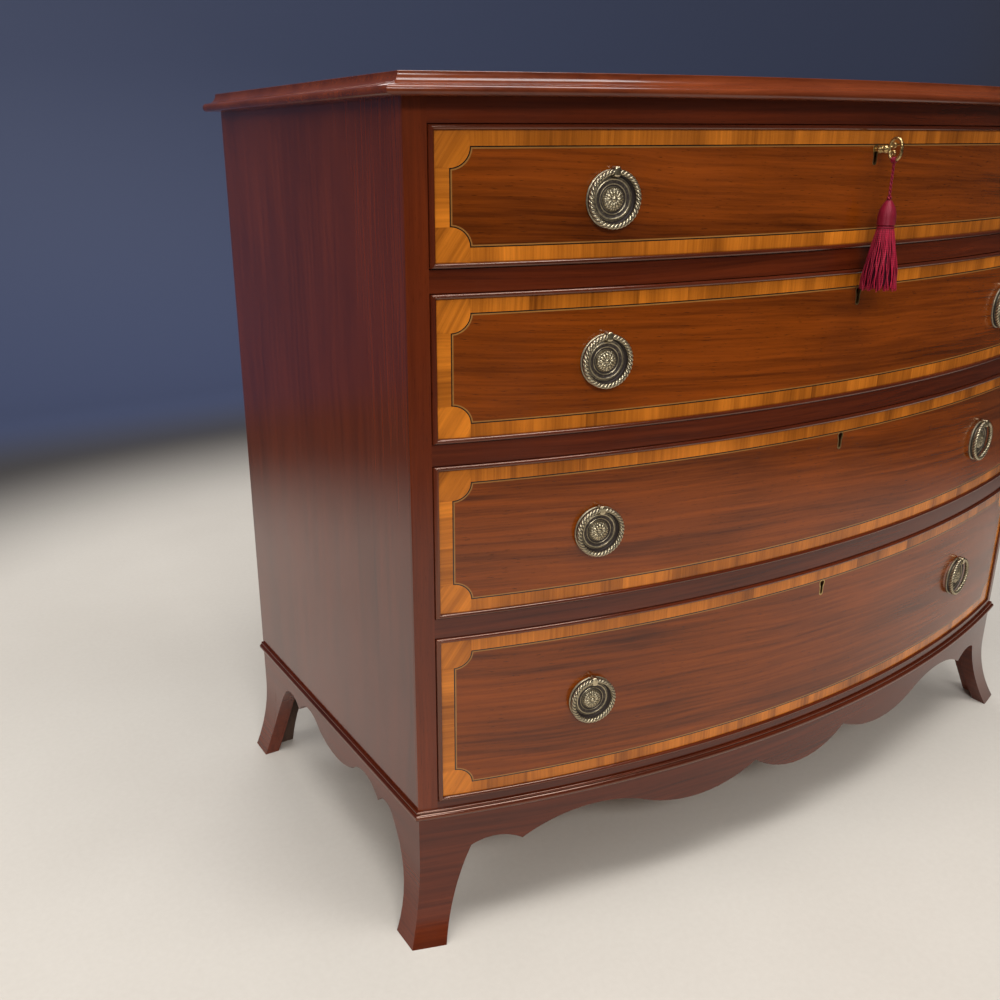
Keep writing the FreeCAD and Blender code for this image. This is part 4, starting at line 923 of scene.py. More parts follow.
def make_front_faces(name, rng):
    """The polished field, the crossband and the two lines between them, as thin plates on the bowed front."""
    low, high = LEVELS[name]
    seed = DRAWERS.index(name) * 0.37
    points, quads = panel_mesh(low, high)
    grain = np.tile(xyz(*points.T, seed), (2, 1))
    Shape().add(inlaid(points, quads, VENEER), grain=grain).piece(
        f"{name}_field", name, "front_mahogany", "panel"
    )
    shape = Shape()
    for number, (grid, fibre, edge, darker) in enumerate(band_plates(low, high, rng)):
        grain = xyz(*fibre.reshape(-1, 2).T, number * 0.31 + seed)
        shade = np.maximum(darker * rng.uniform(0, 1), edge.reshape(-1))
        surface = inlaid(grid.reshape(-1, 2), grid_quads(*grid.shape[:2]), INLAY)
        shape.add(surface, grain=np.tile(grain, (2, 1)), shade=np.tile(shade, 2))
    shape.piece(f"{name}_crossband", name, "banding_satinwood", "band", f"{name}_banding")
    middle = 0.0011
    lines = (("dark_line", "ebony line", 0.0, middle), ("pale_line", "box line", middle, sizes().string_width))
    for label, look, inner, outer in lines:
        loops = np.stack([eared_loop(low, high, outer), eared_loop(low, high, inner)])
        quads = grid_quads(2, loops.shape[1], wrap_columns=True)
        Shape().add(inlaid(loops.reshape(-1, 2), quads, INLAY)).piece(
            f"{name}_{label}", name, "banding_satinwood", look
        )


# The brasses.

# Profiles of the back plate outside its boss, in millimetres from its centre: its height, and how bright it is.
STEP_RADII = (
    *(0, 10.6, 11.3, 12.4, 12.8, 13.4, 14.0, 14.4, 16.4, 16.9),
    *(17.6, 18.4, 18.8, 19.6, 20.1, 21.6, 22.4, 25.6, 26.2, 26.5),
)
STEP_HEIGHTS = (2.2, 2.2, 1.3, 1.3, 2.1, 2.5, 2.1, 1.5, 1.8, 2.7, 3.1, 2.7, 2.0, 2.1, 0.8, 0.8, 1.5, 1.6, 1.3, 0.9)
PLATE_BRIGHT = (
    (0, 10.9, 11.5, 12.7, 13.4, 14.1, 16.7, 17.6, 18.5, 19.3, 19.8, 20.4, 25.0, 25.9, 26.5),
    (0.9, 0.8, 0.1, 0.15, 0.75, 0.2, 0.2, 0.95, 0.25, 0.3, 0.5, 0.0, 0.1, 0.7, 0.4),
)
BOSS_BRIGHT = ((2.0, 2.7, 3.4, 7.4, 7.9, 8.4, 10.6), (1, 0.1, 1, 1, 0.4, 1, 0.8))


def plate_height(r, angle):
    """Height of a round back plate: a stepped dish with a raised rim, and a boss worked as a rosette.

    The boss is a dome, six long double petals, a fringe of short ones and a button in a ring-shaped hollow."""
    dome = 2.8 + 2.4 * (1 - (r / 11.0) ** 2)
    long_petals = 1.3 * np.abs(np.cos(6 * angle)) ** 0.55 * np.exp(-(((r - 6.0) / 2.5) ** 2))
    short_petals = 0.8 * np.abs(np.cos(12 * angle)) ** 0.6 * np.exp(-(((r - 9.3) / 1.1) ** 2))
    button = 0.8 * np.exp(-((r / 1.7) ** 4)) - 0.5 * np.exp(-(((r - 2.7) / 0.5) ** 2))
    inside = np.clip((BOSS_RADIUS - r) / 0.4, 0, 1)
    boss = dome + long_petals + short_petals + button
    return (np.interp(r, STEP_RADII, STEP_HEIGHTS) * (1 - inside) + boss * inside) / 1000


def plate_worn(r, angle):
    """How bright a back plate is rubbed: its thin rings and the petals' crests, over dark ground."""
    petal = 0.15 + 0.85 * np.abs(np.cos(6 * angle)) ** 0.7
    fringe = 0.1 + 0.9 * np.abs(np.cos(12 * angle)) ** 0.8
    flower = np.where(r < 2.2, 1.0, np.where(r < 8.0, petal, fringe)) * np.interp(r, *BOSS_BRIGHT)
    return np.where(r < BOSS_RADIUS, flower, np.interp(r, *PLATE_BRIGHT))


def make_back_plate():
    """One plate about its centre, facing -Y: a polar grid of heights with a flat back."""
    radius = np.concatenate([[0.0], line(0.0004, 0.0115, 40), line(0.0119, PLATE_RADIUS, 48)])
    r, a = np.meshgrid(radius, around(192), indexing="ij")
    face = xyz(r * np.cos(a), -plate_height(r * 1000, a), r * np.sin(a))
    rows = np.concatenate([face, face[-1:] * (1, 0, 1), face[-1:] * 0])
    worn = np.concatenate([plate_worn(r * 1000, a), np.full((2, a.shape[1]), 0.3)])
    return *looped(rows), worn.reshape(-1)


def make_lug():
    """The hinge lug: an outline of height and standoff with a round eye, drawn across, its edges eased."""
    wire, root, half_width = sizes().ring_wire, 0.0005, 0.003
    wall = wire + 0.0004 + 0.0016
    z0, z1 = RING_RADIUS - wall, RING_RADIUS + wall
    nose = RING_STANDOFF + wall - 0.0010
    outer = evenly(rounded([(root, z0), (nose, z0), (nose, z1), (root, z1)], 0.0024, 7), 40)
    centre = np.array([RING_STANDOFF, RING_RADIUS])
    angle = np.arctan2(*(outer - centre).T[::-1])
    inner = centre + (wire + 0.0003) * xyz(np.cos(angle), np.sin(angle))
    across = line(-1, 1, 13)[:, None]
    hull = centre + (outer - centre) * (1 - 0.2 * np.abs(across) ** 4)[..., None]
    hull = xyz(half_width * across, -hull[..., 0], hull[..., 1])
    bore = xyz(half_width * across[::-1], -inner[:, 0], inner[:, 1])
    return *looped(np.concatenate([hull, bore]), wrap_rows=True), 1.0


def make_shank():
    """The threaded shank through the front and its square nut."""
    thread_radius, end, half = 0.0025, 0.0261, 0.006
    profile = [(0, 0.0), (thread_radius, 0.0), (thread_radius, 0.0255), (0.002, end), (0, end)]
    shank, faces = lathe(np.array(profile), 20)
    corners = rounded([(-half, -half), (half, -half), (half, half), (-half, half)], 0.001, 4)
    depths = [(0.02205, 0.93), (0.0224, 1.0), (0.0246, 1.0), (0.02505, 0.93)]
    nut = np.stack([xyz(corners[:, 0] * size, y, corners[:, 1] * size) for y, size in depths])
    return (shank[:, [0, 2, 1]], faces, 0.85), (*tube(nut), 0.85)


def make_ring():
    """A round bar bent to a circle: its section has three lobes that turn as it goes round, as a rope's do."""
    round_way, about = around(480)[:, None], around(24)
    lobe = np.abs(np.cos(1.5 * (about + sizes().rope_turns * round_way)))
    wire = sizes().ring_wire * (0.66 + 0.34 * lobe**0.9)
    out = RING_RADIUS + wire * np.cos(about) * 0.96
    rows = xyz(out * np.sin(round_way), -RING_STANDOFF + wire * np.sin(about), out * np.cos(round_way))
    return *looped(rows, wrap_rows=True), np.clip(1.6 * lobe - 0.35, 0, 1).reshape(-1)


def add_to_handle(shape, surface, height, side=1):
    """Turns a surface made about a handle's centre to face out of the bow, moves it there and adds it."""
    points, faces, worn = surface
    c, s = math.cos(HANDLE_ANGLE), math.sin(HANDLE_ANGLE)
    turned = points @ np.array([[c, s, 0], [-s, c, 0], [0, 0, 1]]) + (HANDLE_X, float(bow(HANDLE_X)), height)
    return shape.add((turned * (side, 1, 1), faces), worn=worn)


def make_handles(name):
    """The plates, lugs, shanks and nuts of a drawer's two handles, and their rings."""
    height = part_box(f"{name}_handle_mounts")[0].z + PLATE_RADIUS
    plates = Shape()
    for surface in (make_back_plate(), make_lug(), *make_shank()):
        add_to_handle(plates, surface, height)
    plates.mirrored().piece(f"{name}_plates", name, "brass", "brass", f"{name}_handle_mounts", sharp=40)
    short = name.replace("_drawer", "")
    for side, sign in (("right", 1), ("left", -1)):
        ring = add_to_handle(Shape(), make_ring(), height, sign)
        body, solid = f"{short}_ring_{side}", f"{name}_ring_{side}"
        ring.piece(f"{name}_rope_ring_{side}", body, "brass", "brass", solid, sharp=60)


# The key and its tassel.

# The key's turned shaft in front of the drawer: distance out of the front, radius.
SHAFT = (
    (0.0034, 0.0026), (0.0036, 0.0029), (0.0040, 0.0036), (0.0045, 0.0039), (0.0052, 0.0040), (0.0059, 0.0039),
    (0.0064, 0.0036), (0.0067, 0.0027), (0.0072, 0.0022), (0.0078, 0.0023), (0.0081, 0.0029), (0.0086, 0.0032),
    (0.0091, 0.0032), (0.0095, 0.0029), (0.0098, 0.0023), (0.0105, 0.0021), (0.0110, 0.0024), (0.0113, 0.0033),
    (0.0118, 0.0038), (0.0126, 0.0040), (0.0134, 0.0038), (0.0140, 0.0032), (0.0147, 0.0027), (0.0156, 0.0024),
    (0.0166, 0.0018), (0.0170, 0.0),
)  # fmt: skip


def key_bar(path, width, depth, sides=14):
    """A bar bent to a path in the key's plane: an oval of width in the plane and depth across it, at each point."""
    ahead = np.gradient(path, axis=0)
    ahead /= np.linalg.norm(ahead, axis=1, keepdims=True)
    beside = np.stack([ahead[:, 1], -ahead[:, 0]], -1)
    turn = around(sides)
    flat = path[:, None] + beside[:, None] * (width[:, None] * np.cos(turn))[..., None]
    return xyz(depth[:, None] * np.sin(turn), Y_FACE - flat[..., 0], KEY_AXIS + flat[..., 1])


def make_key():
    """A pipe key: a turned shaft with collars, a bit with two wards and a beaded oval bow with scrolls inside."""
    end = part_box("key")[1].y - Y_FACE
    pipe, bore = end - 0.0063, 0.0015
    mouth = [(-end + 0.0002, bore), (-end, 0.0017), (-end, 0.0023), (-end + 0.0003, 0.0026)]
    inside = [(-pipe, 0), (-pipe, bore), *mouth]
    points, faces = lathe(np.array([*inside, *SHAFT])[:, ::-1], 40)
    shape = Shape().add((points[:, [0, 2, 1]] * (1, -1, 1) + (0, Y_FACE, KEY_AXIS), faces))

    turn = around(160)
    oval = np.stack([np.cos(turn), np.sin(turn)], -1)
    loop = (0.02375, 0) + (0.00715, 0.0104) * np.sign(oval) * np.abs(oval) ** 0.85
    beads = 0.86 + 0.14 * np.abs(np.cos(11 * turn)) ** 0.7
    loop, beads = (np.concatenate([part[-1:], part, part[:1]]) for part in (loop, beads))
    shape.add(looped(key_bar(loop, 0.0016 * beads, 0.0018 * beads)[1:-1], wrap_rows=True))

    t = line(0, 1, 40)
    angle, coil, wire = np.radians(-150 + 380 * t), 0.0031 * (1 - 0.72 * t), 0.00095
    for way in (1, -1):
        scroll = xyz(0.0213 + coil * np.cos(angle), way * (0.0042 + coil * np.sin(angle)))
        stem_x = line(0.0158, scroll[0, 0] - 0.0003, 6)
        stem = xyz(stem_x, way * line(0.0006, abs(scroll[0, 1]) - 0.0002, 6))
        thick = np.concatenate([np.full(6, wire), wire - 0.00015 * t])
        thick[-3:] *= (1.25, 1.5, 1.1)
        shape.add(tube(key_bar(np.concatenate([stem, scroll]), thick, thick * 1.2, 10)))

    z = np.array([-0.0085, -0.0070, -0.0069, -0.0056, -0.0055, -0.0040, -0.0039, -0.0031, -0.0030, -0.0021])
    near = np.where((z > -0.00695) & (z < -0.0055), end - 0.0042, end - 0.006)
    far = np.where((z > -0.00395) & (z < -0.0030), end - 0.0016, end)
    bit = [xyz(x, Y_FACE + np.stack([near, far], -1), KEY_AXIS + z[:, None]) for x in (0.0011, -0.0011)]
    shape.add(slab(*bit))
    shape.piece("key_turned", "key", "brass", "bright brass", "key", sharp=40)


def route_line(points):
    """The line of one open NURBS spline with the route's points as its control points."""
    curve = bpy.data.curves.new("route", "CURVE")
    curve.dimensions, curve.resolution_u = "3D", 24
    spline = curve.splines.new("NURBS")
    spline.points.add(len(points) - 1)
    spline.points.foreach_set("co", np.column_stack([points, np.ones(len(points))]).ravel())
    spline.order_u, spline.use_endpoint_u = 3, True
    holder = bpy.data.objects.new("route", curve)
    mesh = bpy.data.meshes.new_from_object(holder)
    found = np.empty(3 * len(mesh.vertices))
    mesh.vertices.foreach_get("co", found)
    bpy.data.meshes.remove(mesh)
    bpy.data.objects.remove(holder)
    bpy.data.curves.remove(curve)
    return found.reshape(-1, 3)


def add_thread(shape, path, radius, sides=10, pitch=0.0016, **layers):
    """A round thread along a path: circles across the path's direction, with the lay of its twist as a layer."""
    ahead = np.gradient(path, axis=0)
    ahead /= np.linalg.norm(ahead, axis=1, keepdims=True)
    reference = np.where(np.abs(ahead[:, 1:2]) < 0.9, [[0.0, 1.0, 0.0]], [[1.0, 0.0, 0.0]])
    first = np.cross(ahead, reference)
    first /= np.linalg.norm(first, axis=1, keepdims=True)
    second = np.cross(ahead, first)
    turn = around(sides)
    out = first[:, None] * np.cos(turn)[:, None] + second[:, None] * np.sin(turn)[:, None]
    sections = path[:, None] + out * np.asarray(radius, float).reshape(-1, 1, 1)
    lay = distance_along(path)[:, None] / pitch + turn / (2 * np.pi)
    return shape.add(tube(sections), lay=np.concatenate([lay.reshape(-1), lay[[0, -1], 0]]), **layers)


def silk_piece(shape, name, *replaced, look="silk"):
    """Makes a piece of the tassel."""
    return shape.piece(name, "tassel", "silk", look, *replaced, sharp=80)


def make_cord():
    """The cord that hangs from the key's bow: two strands laid round the route's line, and turns round the bow."""
    y, lean, easing = TASSEL_Y, 0.0004, 0.012
    route = [(0.0, y, CORD_TOP), (lean, y, CORD_TOP - easing), (-lean, y, CORD_FOOT + easing), (0.0, y, CORD_FOOT)]
    path = route_line(route)
    middle = evenly(path, 80, closed=False)
    shape = Shape()
    for start in (0, np.pi):
        turn = start + 2 * np.pi * 4.3 * line(0, 1, 80)
        add_thread(shape, middle + 0.00074 * xyz(np.cos(turn), np.sin(turn), 0), 0.00076)
    cord = silk_piece(shape, "tassel_cord_laid", "tassel_cord")
    turn = line(0, 2 * np.pi * 4, 128)
    height = KEY_AXIS - 0.0104 - 0.00245 * np.cos(turn)
    coil = xyz(0.00262 * np.sin(turn), y + line(0.0025, -0.0025, 128), height)
    silk_piece(add_thread(Shape(), coil, 0.00072), "tassel_cord_hitch")
    return cord, path


def turned_silk(radius, z, count):
    """Circles of radius about the tassel's upright line, at heights z."""
    turn = around(count)
    return xyz(radius * np.cos(turn), TASSEL_Y + radius * np.sin(turn), z)


def make_head():
    """The wound head: a straight band with a waist near its foot, and a dome over it, ridged by the winding."""
    wide, band, tall = 0.0094, 0.01, 0.028
    z = line(0, tall, 200)
    dome = arc((wide, band), (0.0024, tall), 0.0018, 40)
    radius = np.where(z < band, wide, np.interp(z, dome[:, 1], dome[:, 0]))
    waist = 0.0011 * np.exp(-(((z - 0.0022) / 0.0007) ** 2))
    radius = radius - waist - 0.0004 * np.exp(-((z / 0.0006) ** 2))
    turn = around(56)
    lay = z[:, None] / 0.001 + turn / (2 * np.pi)
    ridged = radius[:, None] - 0.00016 + 0.00016 * np.cos(2 * np.pi * lay)
    sections = turned_silk(ridged, FRINGE_TOP + z[:, None], 56)
    lay = np.concatenate([lay.reshape(-1), lay[[0, -1], 0]])
    return silk_piece(Shape().add(tube(sections), lay=lay, shade=0.0), "tassel_head_wound", "tassel_head")


def make_fringe():
    """The fringe: three rounds of twisted strands that spread, sway and drift, over a dark ridged core of painted
    shade.
    """
    rng = np.random.default_rng(11)
    shape = Shape()
    t = line(0, 1, 15)
    spreading = 1.25 * t - 0.25 * t**3
    start, widest = FRINGE_TOP + 0.001, 0.0189
    # Count of strands, radius at the top, radius at the foot and how far that may fall short.
    rounds = (
        (sizes().outer_strands, 0.0077, 0.0187, 0.0014),
        (56, 0.0066, 0.0158, 0.0022),
        (36, 0.0045, 0.011, 0.003),
    )
    for count, top, foot, loose in rounds:
        for number in range(count):
            angle = 2 * np.pi * (number + rng.uniform(-0.35, 0.35)) / count
            away = top + (foot - rng.uniform(0, loose) - top) * spreading
            sway = 0.0009 * t * np.sin(2 * np.pi * (t * rng.uniform(1.2, 3.2) + rng.uniform(0, 1)))
            bend = angle + (rng.uniform(-0.3, 0.3) * t**1.6 + sway / np.maximum(away, 0.004))
            drift = 0.0008 * t * np.sin(2 * np.pi * (1.8 * t + rng.uniform(0, 1)))
            away = np.minimum(away + drift, widest)
            drop = start - FRINGE_FOOT - rng.uniform(0.0, 0.0045) - 0.0009
            strand = xyz(away * np.cos(bend), TASSEL_Y + away * np.sin(bend), start - drop * t)
            size = np.full(15, sizes().strand_thickness)
            size[-2:] *= (1.25, 0.7)
            add_thread(shape, strand, size, 6, 0.0021, shade=rng.uniform(0, 1) ** 1.5)
    silk_piece(shape, "tassel_fringe_strands", "tassel_fringe")
    t = line(0, 1, 24)[:, None]
    radius = 0.0068 + 0.0085 * (1.25 * t - 0.25 * t**3)
    ridged = radius * (1 + 0.04 * np.cos(15 * around(60)))
    core = turned_silk(ridged, FRINGE_TOP - 0.0005 - (FRINGE_TOP - FRINGE_FOOT - 0.008) * t, 60)
    # A dark core of painted shade, seen through the gaps between the strands.
    silk_piece(Shape().add(tube(core), lay=0.0, shade=0.0), "tassel_fringe_core", look="painted shade core")


def make_tassel():
    """The knot, the wound head and the fringe of twisted strands over a dark core of painted shade, with their
    cord.
    """
    cord, path = make_cord()
    turn = line(0, 2 * np.pi, 400)
    wide = 0.0016 + 0.0006 * np.cos(3 * turn)
    winding = xyz(np.sin(2 * turn + 0.4) * wide, np.cos(2 * turn) * wide, 0.0013 * np.sin(3 * turn))
    knot = silk_piece(add_thread(Shape(), winding + (0, TASSEL_Y, CORD_FOOT + 0.0016), 0.0009), "tassel_knot")
    head = make_head()
    make_fringe()


# Light, floor and camera.

PALE = (0.56, 0.515, 0.455), (0.63, 0.588, 0.525)  # the two tones of the floor near the chest
POOL_OF_LIGHT_ROUND = (1.3, 2.1)  # between these distances from the chest's middle the painted pool of light on the floor fades to dark
FLOOR_BEYOND_POOL = (0.066, 0.06, 0.055)  # the floor beyond the painted pool of light
SLATE_DEPTH = (1.9, 2.5)  # between these places behind the chest the slate begins
DUSK_SIDES = (5.6, 8.4)  # between these distances to either side the slate turns to dusk
SLATE = (0.07, 0.088, 0.165)  # the sweep behind
DUSK = (0.075, 0.067, 0.06)  # the sweep's ends
AIR = (0.045, 0.04, 0.036)  # what lies beyond the sweep, as the camera and reflections see it
SOFT = (0.55, 0.54, 0.53, 1.0)  # the even light of the room
# Name, place, target, width, height and power of each lamp.
LAMPS = (
    ("ceiling_light", (-0.3, -0.7, 3.0), (0.0, -0.1, 0.3), 2.4, 0.8, 58.0),
    ("front_light", (-1.4, -3.0, 2.5), (0.0, -0.2, 0.5), 1.5, 0.5, 50.0),
    ("back_light", (0.7, 2.2, 2.7), (0.0, 0.2, 0.4), 1.8, 0.8, 26.0),
    ("side_light", (-3.2, 0.2, 2.3), (-0.5, 0.0, 0.5), 1.6, 1.2, 24.0),
)


def make_floor():
    """A floor that is pale round the chest in a painted pool of light, darker beyond it, and deepens to slate where
    it turns up behind in a quarter round.
    """
    floor = Material("pale floor", Roughness=0.6, Specular_IOR_Level=0.3)
    n, place = floor.n, floor.object_place()
    mottle = n.noise(place, 1.7, 5.0, 0.55)
    fine = n.noise(place, 130.0, 3.0, 0.6)
    tone = n.range(n.plus(n.times(mottle, 0.7), n.times(fine, 0.3)), 0.3, 0.7)
    colour = n.mix(tone, rgba(PALE[0]), rgba(PALE[1]))
    # Painted pool of light: the floor darkens with distance from the chest's middle.
    reach = n.add("ShaderNodeVectorMath", {0: place}, operation="LENGTH").outputs["Value"]
    colour = n.mix(n.range(reach, *POOL_OF_LIGHT_ROUND, smooth=True), colour, rgba(FLOOR_BEYOND_POOL))
    split = n.split(place)
    aside = n.range(n.maths("ABSOLUTE", split[0]), *DUSK_SIDES, smooth=True)
    wall = n.mix(aside, rgba(SLATE), rgba(DUSK))
    floor.feed(Base_Color=n.mix(n.range(split[1], *SLATE_DEPTH, smooth=True), colour, wall))

    radius, behind, side, front, top = 1.2, 2.6, 9.0, -9.0, 5.5
    turn = line(0, 1, 25) * np.pi / 2
    curve = xyz(behind + radius * np.sin(turn), radius - radius * np.cos(turn))
    profile = np.concatenate([[(front, 0.0)], curve, [(behind + radius, top)]])
    grid = xyz(np.array([-side, side]), profile[:, :1], profile[:, 1:])
    mesh = bpy.data.meshes.new("floor_sweep")
    mesh.from_pydata(grid.reshape(-1, 3).tolist(), [], grid_quads(len(profile), 2).tolist())
    mesh.shade_smooth()
    mesh.materials.append(floor.made)
    sweep = linked("floor_sweep", mesh)


def make_light():
    """An even world that reflects as dark air, and soft lamps above, in front, behind and at the side."""
    world = bpy.data.worlds.new("soft room")
    bpy.context.scene.world = world
    world.use_nodes = True
    n = Nodes(world.node_tree)
    seen = n.add("ShaderNodeLightPath").outputs
    direct = n.plus(seen["Is Camera Ray"], seen["Is Glossy Ray"], seen["Is Transmission Ray"], clamp=True)
    background = world.node_tree.nodes["Background"]
    world.node_tree.links.new(n.mix(direct, SOFT, rgba(AIR)), background.inputs[0])
    background.inputs[1].default_value = 1.0
    for name, place, target, width, height, power in LAMPS:
        data = bpy.data.lights.new(name, "AREA")
        data.shape = "RECTANGLE"
        data.size, data.size_y, data.energy = width, height, power
        lamp = linked(name, data)
        lamp.location = place
        lamp.rotation_mode = "QUATERNION"
        lamp.rotation_quaternion = (Vector(target) - Vector(place)).to_track_quat("-Z", "Y")


def make_camera():
    """The camera: yaw turns it from +Y to the right, pitch up and roll about its line; its lens is in pixels."""
    yaw, pitch, roll = 0.5429, -0.3454, -0.0047
    focal, centre_x, centre_y, picture = 1016.04, 465.88, 510.14, 1000.0
    right = Vector((math.cos(yaw), -math.sin(yaw), 0))
    ahead = Vector((math.sin(yaw) * math.cos(pitch), math.cos(yaw) * math.cos(pitch), math.sin(pitch)))
    up = right.cross(ahead)
    right, up = right * math.cos(roll) + up * math.sin(roll), up * math.cos(roll) - right * math.sin(roll)
    data = bpy.data.cameras.new("camera")
    data.sensor_width = 36.0
    data.sensor_fit = "HORIZONTAL"
    data.lens = data.sensor_width * focal / picture
    data.shift_x = (picture / 2 - centre_x) / picture
    data.shift_y = (centre_y - picture / 2) / picture
    data.clip_start, data.clip_end = 0.05, 60.0
    camera = linked("camera", data)
    camera.rotation_mode = "QUATERNION"
    camera.location = (-0.94178, Y_BACK - 1.28726, 0.84157)
    camera.rotation_quaternion = Matrix((right, up, -ahead)).transposed().to_quaternion()
    bpy.context.scene.camera = camera
    bpy.context.scene.view_settings.view_transform = "Standard"


def dress_solids():
    """Gives each solid that still shows its wood or brass."""
    looks = {
        "side_left": "side",
        "side_right": "side",
        "cross_rails": "inner rail",
        "bottom_board": "oak across",
        "drawer_runners": "oak along",
        "dust_boards": "oak across",
        "drawer_stops": "oak across",
        "back_boards": "pine up",
        "rear_feet": "raw dark",
        "foot_blocks": "raw dark",
    }
    parts = {"front": "inner rail", "box": "oak along", "bottom": "oak across"}
    parts.update(lock="bright brass", bolt="bright brass")
    looks.update({f"{name}_{part}": look for name in DRAWERS for part, look in parts.items()})
    for name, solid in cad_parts.items():
        if not solid.hide_render:
            solid.data.materials.clear()
            solid.data.materials.append(LOOKS[looks[name]])


# Properties, operators and panel.


def paint(name, description, default):
    """A colour that a user may change, in linear values."""
    return bpy.props.FloatVectorProperty(
        name=name, description=description, default=default, size=3, min=0.0, max=1.0, subtype="COLOR"
    )


def length(name, description, default, least, most):
    """A length in metres that a user may change."""
    given = {"name": name, "description": description, "default": default, "min": least, "max": most}
    return bpy.props.FloatProperty(**given, precision=4, unit="LENGTH", subtype="DISTANCE")


def number(name, description, default, least, most):
    """A count that a user may change."""
    return bpy.props.IntProperty(name=name, description=description, default=default, min=least, max=most)


class ChestSizes(bpy.types.PropertyGroup):
    """Sizes of the inlay, the brasses and the tassel"""

    band_width: length("Crossband width", "Width of the crossband round a drawer front", 0.0132, 0.006, 0.02)
    string_width: length("Stringing width", "Width of the two inlaid lines together", 0.0024, 0.0015, 0.005)
    ear_radius: length("Ear radius", "Radius of the crossband's quarter-round corners", 0.018, 0.008, 0.03)
    ring_wire: length("Ring thickness", "Half the thickness of the ring's rope", 0.0028, 0.0015, 0.0029)
    rope_turns: number("Rope turns", "Turns of the three strands round a ring", 13, 6, 24)
    strand_thickness: length(
        "Strand thickness", "Half the thickness of a strand of the fringe", 0.00058, 0.0003, 0.001
    )
    outer_strands: number("Outer strands", "Strands in the outermost of the fringe's three rounds", 66, 24, 90)
    inlay_seed: number("Inlay seed", "Which run of veneer the crossband is cut from", 7, 0, 999)


class ChestColours(bpy.types.PropertyGroup):
    """Colours of the woods, the brass and the silk"""

    mahogany: paint("Mahogany", "Light fibres of the sides and of the side aprons", (0.18, 0.029, 0.007))
    mahogany_shade: paint("Mahogany shade", "Dark fibres of sides, stiles and top", (0.05, 0.0068, 0.0022))
    rails: paint("Rails", "Light fibres of the rails and the front apron", (0.14, 0.0225, 0.005))
    field: paint("Field", "Light fibres of the drawer fronts' fields", (0.3, 0.06, 0.004))
    field_shade: paint("Field shade", "Dark fibres of the drawer fronts' fields", (0.026, 0.0036, 0.0005))
    crossband: paint("Crossband", "Light fibres of the crossband", (0.86, 0.262, 0.02))
    crossband_shade: paint("Crossband shade", "Dark fibres of the crossband", (0.12, 0.024, 0.0016))
    brass: paint("Brass", "Brass where it is rubbed bright", (0.66, 0.56, 0.37))
    lacquer: paint("Lacquer", "Dark lacquer left in the brass's hollows", (0.045, 0.031, 0.026))
    silk: paint("Silk", "Thread of the cord, the head and the fringe", (0.25, 0.008, 0.026))


class CHEST_OT_stage(bpy.types.Operator):
    """Build the floor, the lamps and the camera"""

    bl_idname = "chest.stage"
    bl_label = "Stage"

    def execute(self, context):
        make_floor()
        make_light()
        make_camera()
        return {"FINISHED"}


class CHEST_OT_looks(bpy.types.Operator):
    """Build the woods, brasses and silk"""

    bl_idname = "chest.looks"
    bl_label = "Materials"

    def execute(self, context):
        make_looks()
        return {"FINISHED"}


class CHEST_OT_carcase(bpy.types.Operator):
    """Build the top board, the rail and corner facings"""

    bl_idname = "chest.carcase"
    bl_label = "Carcase"

    def execute(self, context):
        make_top()
        make_rail_faces()
        make_stiles()
        return {"FINISHED"}


class CHEST_OT_base(bpy.types.Operator):
    """Build the bead and the shaped aprons with their splayed feet"""

    bl_idname = "chest.base"
    bl_label = "Base"

    def execute(self, context):
        make_base_bead()
        make_front_apron()
        make_side_aprons()
        return {"FINISHED"}


class CHEST_OT_drawer_fronts(bpy.types.Operator):
    """Build the figured fields, the crossband, the stringing and the cockbeads"""

    bl_idname = "chest.drawer_fronts"
    bl_label = "Drawer fronts"

    def execute(self, context):
        rng = np.random.default_rng(sizes().inlay_seed)
        for name in DRAWERS:
            make_front_faces(name, rng)
            make_cockbead(name, *LEVELS[name])
        return {"FINISHED"}


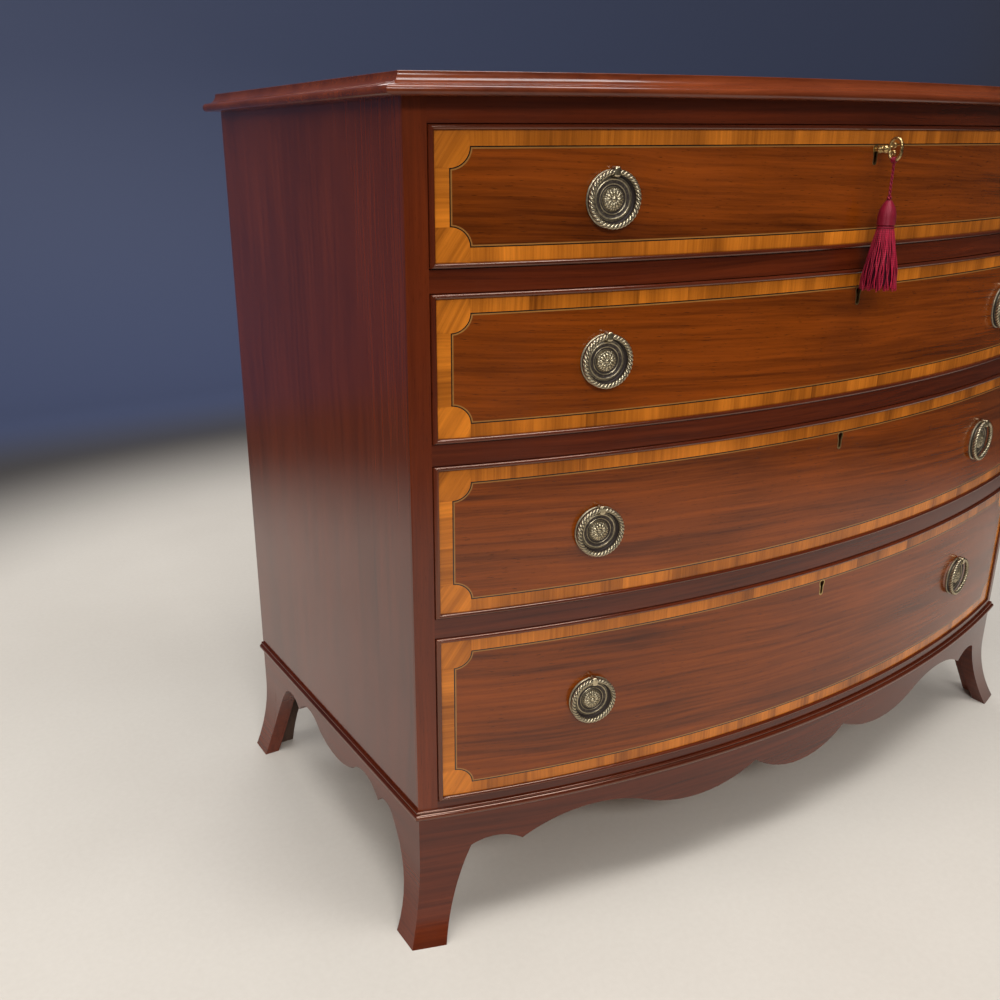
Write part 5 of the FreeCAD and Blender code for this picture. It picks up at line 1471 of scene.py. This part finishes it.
class CHEST_OT_handles(bpy.types.Operator):
    """Build the back plates with their rosettes and the rope twisted rings"""

    bl_idname = "chest.handles"
    bl_label = "Handles"

    def execute(self, context):
        for name in DRAWERS:
            make_handles(name)
        return {"FINISHED"}


class CHEST_OT_key(bpy.types.Operator):
    """Build the key with its turned shaft and pierced bow"""

    bl_idname = "chest.key"
    bl_label = "Key"

    def execute(self, context):
        make_key()
        return {"FINISHED"}


class CHEST_OT_tassel(bpy.types.Operator):
    """Build the cord, the knot, the wound head and the fringe"""

    bl_idname = "chest.tassel"
    bl_label = "Tassel"

    def execute(self, context):
        make_tassel()
        return {"FINISHED"}


class CHEST_OT_solids(bpy.types.Operator):
    """Give the solids that still show their finish"""

    bl_idname = "chest.solids"
    bl_label = "Remaining solids"

    def execute(self, context):
        dress_solids()
        return {"FINISHED"}


OPERATORS = (
    CHEST_OT_stage,
    CHEST_OT_looks,
    CHEST_OT_carcase,
    CHEST_OT_base,
    CHEST_OT_drawer_fronts,
    CHEST_OT_handles,
    CHEST_OT_key,
    CHEST_OT_tassel,
    CHEST_OT_solids,
)


class CHEST_PT_finish(bpy.types.Panel):
    """Sizes, colours and the steps that dress the chest"""

    bl_label = "Chest finish"
    bl_idname = "CHEST_PT_finish"
    bl_space_type = "VIEW_3D"
    bl_region_type = "UI"
    bl_category = "Chest"

    def draw(self, context):
        for group in (context.scene.chest_sizes, context.scene.chest_colours):
            for name in group.__annotations__:
                self.layout.prop(group, name)
        for operator in OPERATORS:
            self.layout.operator(operator.bl_idname)


CLASSES = (ChestSizes, ChestColours, *OPERATORS, CHEST_PT_finish)


def register():
    for made in CLASSES:
        bpy.utils.register_class(made)
    bpy.types.Scene.chest_sizes = bpy.props.PointerProperty(type=ChestSizes)
    bpy.types.Scene.chest_colours = bpy.props.PointerProperty(type=ChestColours)


def unregister():
    del bpy.types.Scene.chest_sizes
    del bpy.types.Scene.chest_colours
    for made in reversed(CLASSES):
        bpy.utils.unregister_class(made)


def main():
    register()
    for operator in OPERATORS:
        family, name = operator.bl_idname.split(".")
        getattr(getattr(bpy.ops, family), name)()


if __name__ == "__main__":
    main()
